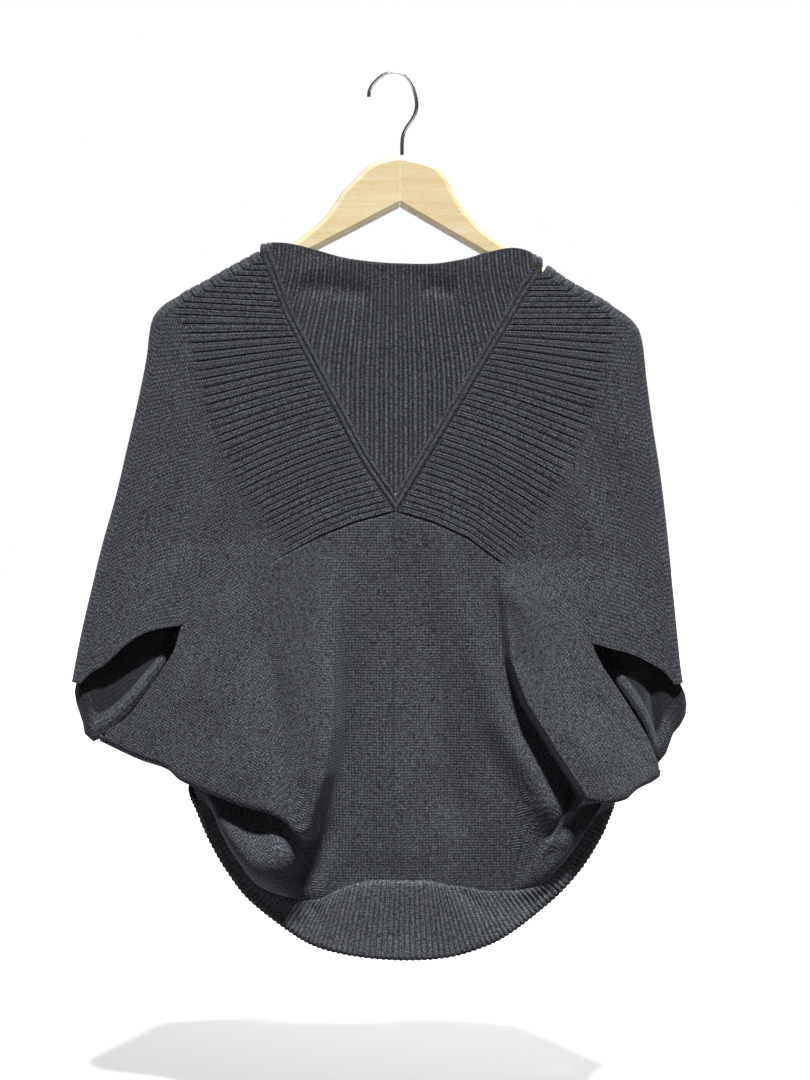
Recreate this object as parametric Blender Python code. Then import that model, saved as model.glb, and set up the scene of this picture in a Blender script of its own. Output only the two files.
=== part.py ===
"""Open-front cocoon cardigan, seen from the wearer's back, hanging on a wooden hanger.

Frame: +X to the viewer's right, +Z up, +Y away from the viewer, towards the open front.
The origin is the inside top of the hook, where the hanger hangs.  All tables are in
millimetres and meshes in metres.  The cloth is one wall of even thickness: every piece is
a surface worked out from a few named outlines, with a plain inner skin one wall behind it,
and ribs raised in the outer skin alone.
"""

import math

import bmesh
import bpy
import numpy as np

# ---------------------------------------------------------------- driving sizes, mm
WALL = 2.5            # thickness of the knitted cloth
SEAM = 0.3            # gap between two pieces that are sewn together
EDGE_RADIUS = 9.5     # half depth of the hanging garment where it folds round its outline
NECK_LEAN = 8.5       # how far the shoulder's fold leans in at the neck
SEAM_MARKS = [0, 0.16, 0.32, 0.53, 0.75, 0.9, 1.0]   # corners of the yoke seams, as shares
WRAP_SPAN = 0.2       # share of a sleeve's width parameter that goes round that fold
WOOD_HALF = 6.0       # half thickness of the hanger's arms
WOOD_BEVEL = 5.0      # round of the arms' edges
WOOD_SEAT = 1.1       # the shoulder cloth lies this far above the wood
WIRE_RADIUS = 1.7     # hook wire
HEM_GAP = 1.5         # between the panel's low edge and the rim band's crests
TRIM_WIDTH = 8.7      # raised double wale along each line of the V
RIB_HEIGHT = 1.3      # wide flat ribs of the yokes
COLLAR_RIB_HEIGHT = 1.0
TRIM_HEIGHT = 1.5
TRIM_DROP = 7.5       # how far under the rim a trim starts to fold over the shoulder
TRIM_ROUNDING = 9.5
BAND_RIB_HEIGHT = 0.9
COLLAR_RIB_PITCH = 7.3
BAND_RIB_PITCH = 4.9
FRONT_RIB_PITCH = 6.6
TRIM_PROFILE = [0, 1, 0.8, 0.1, 0.8, 1, 0]    # two rounds side by side, as heights
V_POINT = (1.9, -415.0)
LIP_FORWARD = 17.0    # how far the cuff's far lip stands towards the viewer
SEAM_DROP = 0.8       # the lower panel's upper edge under the yoke seams
OUTER_DROP = 8.0      # half height of the fold under an outer wing
INNER_DROP = 5.0      # the same for the folds above the flanks
FLANK_FULLNESS = 7.0  # how far a flank bags out
THIN = 0.5            # share of the wall's thickness kept in the panel's sharpest corners
FRONT_ROWS = 9        # steps down the panel's front, fold, flank and far part
FOLD_ROWS = 7
FLANK_ROWS = 5
FAR_ROWS = 4

# ---------------------------------------------------------------- outlines, (x, z) in mm
RIM = [(-130, -166), (-121, -162), (-104, -161.8), (-89, -164.4), (-72, -169),
       (-47, -176), (-18, -180), (10, -181.5), (39, -181.5), (67, -177), (82, -172.5),
       (96, -169), (110, -166.5), (124, -168.5), (139, -176), (147, -181.5)]

SIDES = {
    "left": {
        "sign": -1,
        "v_line": [(-123.0, -177), (-110.5, -211), (-102.6, -231), (-84.2, -267),
                   (-57.8, -316.4), (-31.4, -365.5), (1.7, -414.8)],
        "outline": [(-126.5, -168.5), (-134, -172.3), (-145, -178.4), (-159, -186),
                    (-180, -198), (-201, -209), (-218, -219),
                    (-228.5, -231), (-232.5, -247), (-235.5, -272), (-244, -314),
                    (-254, -357), (-264, -400), (-276, -443), (-286.5, -485),
                    (-296.5, -528), (-302.5, -558), (-308, -580)],
        "seam": [(1.7, -414.8), (-16, -418), (-36, -424.7), (-51, -430), (-99, -452.5),
                 (-130, -476), (-151, -490), (-176, -507), (-202, -523)],
        "cuff": [(-202, -523), (-224, -527), (-238, -532), (-252, -541), (-264, -552),
                 (-276, -563), (-288, -570), (-299.5, -582)],
        "lip": [(-299.5, -582), (-300, -592), (-294, -602), (-291, -615), (-289.5, -628),
                (-280, -627), (-256, -606), (-230, -577), (-210, -549), (-189, -524)],
        "far_edge": [(-120.5, -189), (-130, -197), (-152, -213), (-174, -232),
                     (-181, -262), (-180, -330), (-181, -430), (-189, -524)],
        "rib_reach": [(0.0, 0.8), (0.2, 0.86), (0.25, 0.85), (0.3, 0.81),
                      (0.4, 0.72), (0.6, 0.58), (0.8, 0.45), (1.0, 0.36)],
        "ribs": 44,
        "front_free": [(-113, -187), (-106, -215), (-98, -260), (-91, -330), (-89, -430),
                       (-94, -530), (-115, -611)],
        "front_outer": [(-120, -190), (-129.4, -197.8), (-151.4, -213.8), (-172.8, -232.6),
                        (-180.2, -262), (-179.2, -330), (-180.2, -430), (-187, -524),
                        (-188, -590), (-188.5, -637)],
    },
    "right": {
        "sign": 1,
        "v_line": [(136.5, -191.8), (126, -208.5), (100, -252), (70, -302), (40, -352),
                   (2.1, -414.8)],
        "outline": [(144.5, -181.5), (154, -188.4), (167, -197.5), (187, -208.5),
                    (205, -219), (221, -229.5),
                    (231.5, -241), (236.5, -258), (240, -290), (246, -335), (253, -380),
                    (259, -430), (264.5, -485), (269, -530), (272.5, -568), (280, -592)],
        "seam": [(2.1, -414.8), (20, -419), (44, -428), (82, -446.5), (98, -460),
                 (127, -486), (150, -507), (172, -526), (187, -539)],
        "cuff": [(187, -539), (206, -545), (228, -551), (243, -558), (257, -568),
                 (266, -579), (271.5, -593)],
        "lip": [(271.5, -593), (273.5, -604), (270.5, -617), (263, -628), (258.5, -642),
                (257, -657), (250, -654), (238, -621), (217, -588), (200, -566), (182, -536)],
        "far_edge": [(137.5, -200), (146, -207), (166, -221), (183, -234),
                     (191, -262), (190, -330), (190, -430), (182, -536)],
        "rib_reach": [(0.0, 0.8), (0.2, 0.86), (0.25, 0.86), (0.3, 0.83),
                      (0.4, 0.76), (0.6, 0.62), (0.8, 0.5), (1.0, 0.36)],
        "ribs": 42,
        "front_free": [(130, -198), (122.5, -228), (114, -270), (108, -330), (106, -430),
                       (110, -530), (133, -616)],
        "front_outer": [(137, -201), (145.4, -207.8), (165.4, -222), (182, -235), (190.2, -262),
                        (189.2, -330), (189.2, -430), (181, -536), (193, -590), (202.5, -637)],
    },
}

# Rim of the lower garment: the ribbed band folds round this line.  Columns: x, z of the
# fold line, radius of the fold, width of band on the near side, width on the far side,
# depth of its near seam.
RIM_BAND = [
    (-208.0, -645, 8.0, -23.0, 99.0, 9.0),
    (-201.5, -664, 8.0, -15.5, 97.0, 9.0),
    (-194.5, -684, 8.0, 2.0, 94.0, 9.0),
    (-187.5, -700, 8.0, 19.0, 90.0, 10.0),
    (-175.5, -728, 8.0, 20.0, 82.0, 11.0),
    (-159.5, -756, 8.0, 21.0, 72.0, 12.0),
    (-137.0, -785, 7.5, 24.0, 58.0, 14.0),
    (-100.0, -813, 7.0, 42.0, 40.0, 18.0),
    (-70.0, -827.5, 6.0, 64.0, 26.0, 20.0),
    (-32.0, -836, 5.0, 77.0, 16.0, 22.0),
    (10.0, -839, 5.0, 80.0, 12.0, 22.0),
    (50.0, -836.5, 5.0, 77.0, 12.0, 22.0),
    (82.0, -827.5, 6.0, 68.0, 18.0, 21.0),
    (112.0, -813, 7.0, 52.0, 30.0, 18.0),
    (150.0, -785, 8.0, 27.0, 50.0, 13.0),
    (177.0, -756, 8.0, 24.0, 66.0, 12.0),
    (195.0, -728, 8.0, 23.0, 78.0, 11.0),
    (203.3, -710, 8.0, 20.0, 83.0, 10.0),
    (210.3, -692, 8.0, 0.0, 88.0, 9.0),
    (215.8, -674, 8.0, -14.0, 92.0, 9.0),
    (220.0, -656, 8.0, -19.0, 95.0, 9.0),
    (222.3, -645, 8.0, -25.0, 97.0, 9.0),
]

# Lower back panel.  Stations number its columns from left to right: 0 to 3 hang from the
# left cuff, 3 to 14 from the two seams and 14 to 17 from the right cuff.  Each row gives a
# middle point and the low edge point of the front face, and how much the column folds
# back under itself at its low edge, 0 to 1.
PANEL_LEFT_CUFF = [(-267.5, -620), (-249, -607), (-222, -571), (-210, -553), (-202.3, -539)]
PANEL_RIGHT_CUFF = [(187.3, -546), (197, -563), (213, -587), (236, -624), (247.5, -650)]
PANEL_KEYS = [
    # station, middle x, z,   edge x, z,    fold
    (0.0, -269.5, -627, -270.5, -637.5, 1.0),
    (1.0, -246, -627, -241, -650.5, 1.0),
    (2.0, -218, -612, -215, -658.5, 1.0),
    (3.0, -198, -600, -198, -668.5, 1.0),
    (4.0, -163, -588, -163, -682, 1.0),
    (5.0, -132, -588, -138, -690.5, 1.0),
    (6.0, -100, -588, -112, -697.5, 1.0),
    (7.0, -58, -588, -84, -709, 0.25),
    (8.0, -43, -588, -64, -714, 0.0),
    (9.0, 0, -586, 2, -716, 0.0),
    (10.0, 60, -584, 70, -708, 0.0),
    (11.0, 110, -586, 163, -684, 0.0),
    (12.0, 130, -588, 188, -686.0, 1.0),
    (13.0, 160, -594, 201, -686.5, 1.0),
    (14.0, 196, -612, 215, -683.5, 1.0),
    (15.0, 218, -630, 230, -676, 1.0),
    (16.0, 236, -646, 241, -672, 1.0),
    (17.0, 248.5, -656.5, 249.5, -667.5, 1.0),
]
# runs of columns: first station, last station, steps; closer where the panel folds sharply
PANEL_RUNS = [(0, 3, 6), (3, 3.5, 2), (3.5, 4, 1), (4, 6, 4), (6, 8, 6), (8, 9, 2),
              (9, 10.5, 4), (10.5, 11, 1), (11, 12, 4), (12, 14, 8), (14, 17, 6)]
LAST_STATION = 17
FAR_PART_LAST_LEFT = 3
FAR_PART_FIRST_RIGHT = 14
# stations that come up to the corners of the two seams
LEFT_SEAM_STATIONS = [3, 4, 5, 6, 7, 8, 9]
RIGHT_SEAM_STATIONS = [9, 9.75, 10.5, 11.5, 12.5, 13.25, 14]
# steps of the fold above a flank: depth behind the front's edge in mm, the largest share
# of the fold's whole depth it may take, height over the edge, and more height at the
# flank's outer end
FOLD_STEPS = [(1.5, 0.08, 1.2, 0.0), (5.0, 0.22, 0.0, 0.0), (9.5, 0.38, 2.0, 0.0),
              (99, 0.55, 9.0, 3.0), (99, 0.8, 13.0, 6.0), (99, 0.95, 13.0, 9.0),
              (99, 1.0, 9.0, 10.0)]
# share of the whole rim line that each panel station comes down to
HEM_SHARE = [(3.0, 0.085), (4.0, 0.13), (5.0, 0.205), (6.0, 0.275), (7.0, 0.32), (8.0, 0.38),
             (9.0, 0.5), (10.0, 0.59), (11.0, 0.7), (12.0, 0.75), (13.0, 0.83), (14.0, 0.925)]
# where the far part of the lower panel starts and ends, lapped outside the sleeve's far
# edge (x, z)
FAR_LOW_LEFT = [(-270, -626), (-240, -632), (-214, -643), (-192, -652)]
FAR_TOP_LEFT = [(-268, -618), (-244, -586), (-219, -553), (-190.8, -514)]
FAR_LOW_RIGHT = [(207.5, -655), (222, -652), (236, -648), (247.5, -650)]
FAR_TOP_RIGHT = [(182.5, -524), (206, -556), (229, -592), (245, -640)]
FAR_LOW_DEPTH = 12.0
FAR_LAP_DEPTH = 14.5

# depth of the near layer in front of the hanger's plane, by height: columns z, depth
PANEL_DEPTH = [(-839, 22), (-760, 24), (-650, 23), (-560, 19), (-480, 15), (-415, 12.5),
               (-300, 10.5), (-230, 9.5), (-150, 9.5)]
# the roll on the left: z, x of its ridge, x of the valley on its right, height
ROLL = [(-790, -130, -100, 10), (-768, -118, -90, 20), (-745, -103, -74, 26),
        (-711, -82, -63, 30), (-660, -64, -50, 32), (-617, -56, -45, 28),
        (-560, -57, -41, 19), (-500, -60, -37, 9), (-445, -62, -36, 0)]
# the right wing's upright edge over the panel: z, x of the edge, height
CLIFF = [(-690, 178, 34), (-675, 171, 34), (-647, 153, 32), (-621, 137, 29), (-594, 120, 25),
         (-557, 107, 18), (-500, 101, 9), (-462, 99, 0)]
CLIFF_HALF = 5.0
# soft ridges and troughs of the middle panel: x at the top, x at the bottom, half width,
# height
PANEL_WAVES = [(-4, -4, 14, 2.2), (28, 32, 15, -2.4), (56, 92, 16, 3.2)]

# hanger, (x, z) in mm
WOOD_TOP_LEFT = [(5.5, -77.6), (-11.9, -81.3), (-25.7, -88.4), (-39, -101.7),
                 (-48.5, -111), (-57, -124), (-67, -137), (-81.7, -149.5), (-97, -161),
                 (-116, -170.5)]
WOOD_TOP_RIGHT = [(5.9, -77.6), (25, -81.3), (42, -88.4), (52, -101.7), (58, -114),
                  (66, -127), (77, -140), (90, -152), (107.4, -164), (128, -175.5)]
WOOD_LOW = (5.7, -126.8)
WOOD_LOW_SLOPE = {"left": 0.518, "right": 0.578}
WOOD_END_X = {"left": -205, "right": 208}
HOOK = [(-24, -22), (-23, -14.5), (-17, -6.5), (-8.7, -0.3), (0, 1.9), (7.6, 0.4),
        (15.5, -7), (20.1, -18.5), (21.6, -31), (18.5, -41.5), (12.5, -50), (8.6, -58),
        (7.6, -67), (7.6, -77.2)]

KNIT = (0.030, 0.033, 0.038)
WOOD = (0.74, 0.52, 0.27)
STEEL = (0.55, 0.55, 0.56)


# ---------------------------------------------------------------- curves and depths
def smooth_path(points, steps=12):
    """A dense line through the points, by Catmull-Rom spans."""
    p = np.array(points, float)
    ext = np.vstack([2 * p[0] - p[1], p, 2 * p[-1] - p[-2]])
    t = np.linspace(0, 1, steps, endpoint=False)[:, None]
    spans = []
    for i in range(len(p) - 1):
        a, b, c, d = ext[i:i + 4]
        spans.append(0.5 * (2 * b + (c - a) * t + (2 * a - 5 * b + 4 * c - d) * t ** 2
                            + (3 * b - a - 3 * c + d) * t ** 3))
    return np.vstack(spans + [p[-1:]])


def along(path, share):
    """Points at the given shares of a line's length."""
    steps = np.linalg.norm(np.diff(path, axis=0), axis=1)
    length = np.concatenate([[0], np.cumsum(steps)])
    at = np.clip(share, 0, 1) * length[-1]
    return np.stack([np.interp(at, length, path[:, k]) for k in range(path.shape[1])], -1)


def side_normal(path, sign):
    """Unit normals of a line in the XZ plane, turned to the left of its run, times sign."""
    run = np.gradient(path[:, :2], axis=0)
    run /= np.linalg.norm(run, axis=1)[:, None]
    return sign * np.stack([-run[:, 1], run[:, 0]], -1)


def shifted(path, sign, distance):
    """A line moved sideways by a distance, to its left times sign."""
    return path[:, :2] + distance * side_normal(path, sign)


def smooth_step(x):
    """0 below 0, 1 above 1 and an S between them."""
    x = np.clip(x, 0, 1)
    return x * x * (3 - 2 * x)


def by_height(table, z, column):
    """One column of a table that is listed by height, read at any height."""
    rows = np.array(sorted(table), float)
    return np.interp(z, rows[:, 0], rows[:, column])


def bump(x, centre, half):
    """A soft ridge of height 1 and the given half width."""
    return np.exp(-((x - centre) / half) ** 2)


def near_depth(x, z, wings=1.0):
    """How far the near layer's outer face stands in front of the hanger's plane."""
    side = smooth_step((np.abs(x) - 110) / 140)
    depth = EDGE_RADIUS + (by_height(PANEL_DEPTH, z, 1) - EDGE_RADIUS) * (1 - 0.45 * side)
    ridge = by_height(ROLL, z, 1)
    valley = by_height(ROLL, z, 2)
    height = by_height(ROLL, z, 3)
    rise = smooth_step((valley - x) / (valley - ridge))
    plate_left = rise * (1 - 0.62 * smooth_step((ridge - x) / 200)) * wings
    roll = bump(x, ridge, 24) * rise
    depth = depth + height * np.maximum(plate_left, roll) + 0.16 * height * roll
    edge = by_height(CLIFF, z, 1)
    lift = smooth_step((x - edge + CLIFF_HALF) / (2 * CLIFF_HALF))
    plate_right = lift * (1 - 0.6 * smooth_step((x - edge - 20) / 110)) * wings
    depth = depth + by_height(CLIFF, z, 2) * plate_right
    fade = smooth_step((-450 - z) / 70) * smooth_step((z + 790) / 60)
    down = np.clip((-470 - z) / 230, 0, 1)
    for top, low, half, tall in PANEL_WAVES:
        depth = depth + tall * fade * bump(x, top + (low - top) * down, half)
    return depth


# ---------------------------------------------------------------- closed walls
class Wall:
    """Collects the points and faces of one closed wall."""

    def __init__(self):
        self.points = []
        self.faces = []

    def add(self, grid):
        """Adds a grid of points and returns their numbers in a grid of the same shape."""
        start = len(self.points)
        flat = grid.reshape(-1, 3)
        self.points.extend(map(tuple, flat))
        return np.arange(start, start + len(flat)).reshape(grid.shape[:-1])

    def cells(self, index, keep=None):
        """Faces between the neighbours of a grid of point numbers."""
        for i in range(index.shape[0] - 1):
            for j in range(index.shape[1] - 1):
                if keep is None or keep[i, j]:
                    self.faces.append((index[i, j], index[i + 1, j], index[i + 1, j + 1],
                                       index[i, j + 1]))

    def zip(self, one, two):
        """Triangles between two lines of points that run side by side."""
        shares = [self.shares(line) for line in (one, two)]
        i = j = 0
        while i < len(one) - 1 or j < len(two) - 1:
            next_one = sum(shares[0][i:i + 2]) / 2 if i < len(one) - 1 else 9.0
            next_two = sum(shares[1][j:j + 2]) / 2 if j < len(two) - 1 else 9.0
            if next_one <= next_two:
                self.faces.append((one[i], one[i + 1], two[j]))
                i += 1
            else:
                self.faces.append((one[i], two[j + 1], two[j]))
                j += 1

    def close(self, outer, inner):
        """Faces of both skins and the four strips round their edges."""
        self.cells(outer)
        self.cells(inner)
        self.zip(outer[0], inner[0])
        self.zip(outer[-1], inner[-1])
        self.zip(outer[:, 0], inner[:, 0])
        self.zip(outer[:, -1], inner[:, -1])

    def shares(self, line):
        """Where each point of a line lies, as a share of the line's length."""
        p = np.array([self.points[k] for k in line])
        length = np.concatenate([[0], np.cumsum(np.linalg.norm(np.diff(p, axis=0), axis=1))])
        return length / length[-1]

    def build(self, name, material):
        """Makes the object, in metres, with its faces outwards."""
        mesh = bpy.data.meshes.new(name)
        bm = bmesh.new()
        verts = [bm.verts.new([c * 0.001 for c in p]) for p in self.points]
        for face in self.faces:
            bm.faces.new([verts[k] for k in face])
        loose = [v for v in bm.verts if not v.link_faces]
        bmesh.ops.delete(bm, geom=loose, context="VERTS")
        bmesh.ops.triangulate(bm, faces=bm.faces)
        bmesh.ops.recalc_face_normals(bm, faces=bm.faces)
        if bm.calc_volume(signed=True) < 0:
            bmesh.ops.reverse_faces(bm, faces=bm.faces)
        bm.to_mesh(mesh)
        bm.free()
        mesh.shade_smooth()
        mesh.set_sharp_from_angle(angle=math.radians(50))
        return place(name, mesh, material)


def place(name, mesh, material):
    """Puts a mesh in the scene under its node's name."""
    mesh.materials.append(material)
    thing = bpy.data.objects.new(name, mesh)
    bpy.context.collection.objects.link(thing)
    return thing


def finish(name, colour, roughness, metallic=0.0):
    """A plain Principled material; colour is linear."""
    material = bpy.data.materials.new(name)
    material.use_nodes = True
    shader = material.node_tree.nodes["Principled BSDF"]
    shader.inputs["Base Color"].default_value = (*colour, 1)
    shader.inputs["Roughness"].default_value = roughness
    shader.inputs["Metallic"].default_value = metallic
    return material


def normals(surface, u, v, sign):
    """Unit normals of surface(u, v), by small steps both ways."""
    step = 1e-3
    du = surface(u + step, v) - surface(u - step, v)
    dv = surface(u, v + step) - surface(u, v - step)
    n = np.cross(du, dv)
    return sign * n / np.maximum(np.linalg.norm(n, axis=-1), 1e-9)[..., None]


def layer(surface, u, v, sign, out):
    """Grid of points at height out over a surface; u and v are arrays of one shape."""
    return surface(u, v) + normals(surface, u, v, sign) * np.asarray(out)[..., None]


def rib_lines(count):
    """Shares of a width with two lines a rib, and each line's height: 0 groove, 1 crest."""
    shares = np.linspace(0, 1, 2 * count + 1)
    heights = np.arange(2 * count + 1) % 2
    return shares, heights.astype(float)


def ribbed_wall(name, surface, sign, rib_shares, rib_heights, cross, height, plain, material):
    """A wall with ribs at rib_shares of v, sampled at cross in u, plain rows inside."""
    wall = Wall()
    u, v = np.meshgrid(cross, rib_shares, indexing="ij")
    out = wall.add(layer(surface, u, v, sign, np.broadcast_to(rib_heights, u.shape) * height))
    u, v = np.meshgrid(cross, plain, indexing="ij")
    inner = wall.add(layer(surface, u, v, sign, np.full(u.shape, -WALL)))
    wall.close(out, inner)
    return wall.build(name, material)


# ---------------------------------------------------------------- collar and V
def v_offset(side, distance):
    """The line at a distance inside a line of the V, from under the rim to the middle."""
    table = SIDES[side]
    sign = table["sign"]
    first = np.array(table["v_line"][0], float)
    path = smooth_path([first + (sign * 4.5, 26), first + (sign * 3.4, 13)]
                       + table["v_line"])
    line = shifted(path, -sign, distance)
    rim = smooth_path(RIM)
    under = np.interp(line[:, 0], rim[:, 0], rim[:, 1]) - TRIM_DROP - line[:, 1]
    line = crossing_first(line, under)
    return crossing_first(line[::-1], sign * (line[::-1, 0] - V_POINT[0]) - 0.2)[::-1]


def crossing_first(line, clear):
    """The part of a line from where clear turns positive, with a point at the turn."""
    k = int(np.nonzero(clear > 0)[0][0])
    if k == 0:
        return line
    mix = clear[k] / (clear[k] - clear[k - 1])
    return np.vstack([line[k] + (line[k - 1] - line[k]) * mix, line[k:]])


def make_trim(side, material):
    """Two raised wales side by side, from the V point up over the shoulder."""
    sign = SIDES[side]["sign"]
    offsets = np.linspace(SEAM, SEAM + TRIM_WIDTH, 7)
    lines = [v_offset(side, d) for d in offsets]

    def surface(u, v):
        """u across the trim, 0 to 1; v up from the V point and over the fold, 0 to 1."""
        climb = np.clip(v / 0.9, 0, 1)
        pick = np.clip(u, 0, 1) * (len(lines) - 1)
        low = np.minimum(pick.astype(int), len(lines) - 2)
        xz = np.zeros(u.shape + (2,))
        for k in range(len(lines) - 1):
            a = along(lines[k][::-1], climb)
            b = along(lines[k + 1][::-1], climb)
            mix = (pick - k)[..., None]
            xz = np.where((low == k)[..., None], a + (b - a) * mix, xz)
        y = -near_depth(xz[..., 0], xz[..., 1])
        turn = np.clip((v - 0.9) / 0.1, -1, 1.02) * math.pi
        turn = np.maximum(turn, 0)
        y = y + TRIM_ROUNDING * (1 - np.cos(turn))
        z = xz[..., 1] + TRIM_DROP * np.sin(turn)
        return np.stack([xz[..., 0], y, z], -1)

    wall = Wall()
    cross = np.linspace(0, 1, len(TRIM_PROFILE))
    shape = np.array(TRIM_PROFILE) * TRIM_HEIGHT
    run = np.concatenate([np.linspace(0, 0.58, 6), np.linspace(0.64, 0.9, 8),
                          [0.92, 0.94, 0.96, 0.98, 1.0]])
    u, v = np.meshgrid(cross, run, indexing="ij")
    out = wall.add(layer(surface, u, v, -sign, np.broadcast_to(shape[:, None], u.shape)))
    u, v = np.meshgrid(cross[::2], run, indexing="ij")
    inner = wall.add(layer(surface, u, v, -sign, np.full(u.shape, -WALL)))
    wall.close(out, inner)
    return wall.build("v_trim_" + side, material)


def make_collar(material):
    """The gusset inside the V, with upright ribs and a free rim at its top."""
    inside = TRIM_WIDTH + 3 * SEAM
    left = v_offset("left", inside)
    right = v_offset("right", inside)
    low = np.vstack([left[:-1], right[::-1][1:]])
    rim = smooth_path(RIM)
    x_first = left[0, 0] + 1.0
    x_last = right[0, 0] - 1.0

    def surface(u, v):
        """v across from left to right, u down each rib from the rim."""
        x = x_first + (x_last - x_first) * v
        top = np.interp(x, rim[:, 0], rim[:, 1])
        bottom = np.interp(x, low[:, 0], low[:, 1])
        bottom = np.minimum(bottom, top - 6)
        z = top + (bottom - top) * u
        y = -near_depth(x, z)
        return np.stack([x, y, z], -1)

    count = round((x_last - x_first) / COLLAR_RIB_PITCH)
    shares, heights = rib_lines(count)
    down = np.array([0, 0.15, 0.35, 0.57, 0.78, 1.0])
    plain = np.linspace(0, 1, 25)
    return ribbed_wall("collar_gusset", surface, 1, shares, heights, down,
                       COLLAR_RIB_HEIGHT, plain, material)


# ---------------------------------------------------------------- yokes and sleeves
def seam_corners(side):
    """The seam between a yoke and the lower panel, as straight runs between its corners."""
    return along(smooth_path(SIDES[side]["seam"]), np.array(SEAM_MARKS))


def sleeve_surface(side):
    """u: 0 at the V, 1 at the outline, then round the fold, 2 at the front band's seam.
    v: 0 at the neck, 1 at the seam and cuff."""
    table = SIDES[side]
    sign = table["sign"]
    v_line = smooth_path(table["v_line"])
    outline = smooth_path(table["outline"])
    inset = shifted(outline, -sign, EDGE_RADIUS)
    inset = inset[np.abs(outline[:, 0]) > abs(outline[0, 0]) + NECK_LEAN]
    low_near = np.vstack([seam_corners(side), smooth_path(table["cuff"])[1:]])
    low_far = smooth_path(table["lip"])
    far_edge = smooth_path(table["far_edge"])
    corner = inset[-1, :2]

    def blend_patch(first, last, first_end, last_end, low, q, v, power):
        ruled = first + (last - first) * q[..., None]
        ruled_low = first_end + (last_end - first_end) * q[..., None]
        return ruled + (np.clip(v, 0, 1) ** power)[..., None] * (low - ruled_low)

    def surface(u, v):
        q = np.clip(u, 0, 1)
        edge = along(inset, v)
        near = blend_patch(along(v_line, v), edge, v_line[-1], corner,
                           along(low_near, q) + (corner - low_near[-1]) * (q ** 8)[..., None],
                           q, v, 3.0)
        ease = smooth_step((q - 0.7) / 0.3)
        near_y = -(near_depth(near[..., 0], near[..., 1]) * (1 - ease) + EDGE_RADIUS * ease)
        turn = math.pi / 2 - math.pi * np.clip((u - 1) / WRAP_SPAN, 0, 1)
        fold = edge + np.cos(turn)[..., None] * (along(outline, v) - edge)
        fold_y = -EDGE_RADIUS * np.sin(turn)
        w = np.clip((u - 1 - WRAP_SPAN) / (1 - WRAP_SPAN), 0, 1)
        far = blend_patch(edge, along(far_edge, v), corner, far_edge[-1],
                          along(low_far, w) + (corner - low_far[0]) * (1 - w[..., None]) ** 8,
                          w, v, 3.0)
        lip = smooth_step((v - 0.86) / 0.14) * smooth_step(w / 0.3)
        lip = lip * smooth_step((0.86 - w) / 0.2)
        far_y = EDGE_RADIUS + 1.5 * np.sin(math.pi * w) * (1 - v) - LIP_FORWARD * lip
        part = np.where(u <= 1, 0, np.where(u <= 1 + WRAP_SPAN, 1, 2))
        xz = np.where((part == 0)[..., None], near, np.where((part == 1)[..., None], fold, far))
        y = np.where(part == 0, near_y, np.where(part == 1, fold_y, far_y))
        return np.stack([xz[..., 0], y, xz[..., 1]], -1)

    return surface


def make_sleeve(side, material):
    """Yoke and sleeve in one: ribs from the V fade into plain knitting, which goes round
    the shoulder and the sleeve's fold to the front band, and ends free at the cuff."""
    table = SIDES[side]
    surface = sleeve_surface(side)
    sign = -table["sign"]
    reach = np.array(table["rib_reach"])
    wall = Wall()

    def skin(u, v, out):
        """Points at height out, with the near seam's edge cut straight through the wall."""
        n = normals(surface, u, v, sign)
        straight = smooth_step((v - 0.985) / 0.015) * smooth_step((0.95 - u) / 0.2)
        n = n + (np.array([0.0, -1.0, 0.0]) - n) * straight[..., None]
        n /= np.linalg.norm(n, axis=-1)[..., None]
        return surface(u, v) + n * out[..., None]

    shares, heights = rib_lines(table["ribs"])
    columns = np.array([0, 0.3, 0.6, 0.8, 0.9, 1.0])
    fade = np.array([1, 1, 1, 1, 0.9, 0.0])
    u = columns[:, None] * np.interp(shares, reach[:, 0], reach[:, 1])[None, :]
    v = np.broadcast_to(shares, u.shape)
    rib_height = fade[:, None] * heights[None, :] * RIB_HEIGHT
    rib_height = rib_height + 0.35 * fade[:, None] * (1 - heights[None, :])
    ribs = wall.add(skin(u, v, rib_height))

    rows = np.array([0, 0.03, 0.06, 0.1, 0.14, 0.18, 0.21, 0.24, 0.28, 0.35, 0.43, 0.51,
                     0.59, 0.67, 0.75, 0.83, 0.89, 0.94, 0.97, 1.0])
    start = np.interp(rows, reach[:, 0], reach[:, 1]) + 0.02
    stations = [1.0, 1.03, 1.07, 1.1, 1.13, 1.17, 1.2, 1.3, 1.5, 1.75, 2.0]
    lead = 5
    u = np.zeros((lead + len(stations), len(rows)))
    for j, first in enumerate(start):
        u[:lead, j] = np.linspace(first, 1.0, lead + 1)[:-1]
        u[lead:, j] = stations
    v = np.broadcast_to(rows, u.shape)
    plain = wall.add(skin(u, v, np.zeros(u.shape)))

    inner_u = np.array([0, 0.108, 0.216, 0.36, 0.504, 0.66, 0.83] + stations)
    u, v = np.meshgrid(inner_u, rows, indexing="ij")
    inner = wall.add(skin(u, v, np.full(u.shape, -WALL)))

    wall.cells(ribs)
    wall.cells(plain)
    wall.cells(inner)
    wall.zip(ribs[-1], plain[0])
    wall.zip(ribs[0], inner[0])
    wall.zip(plain[-1], inner[-1])
    wall.zip(np.append(ribs[:, 0], plain[:, 0]), inner[:, 0])
    wall.zip(np.append(ribs[:, -1], plain[:, -1]), inner[:, -1])
    return wall.build("yoke_sleeve_" + side, material)


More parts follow.
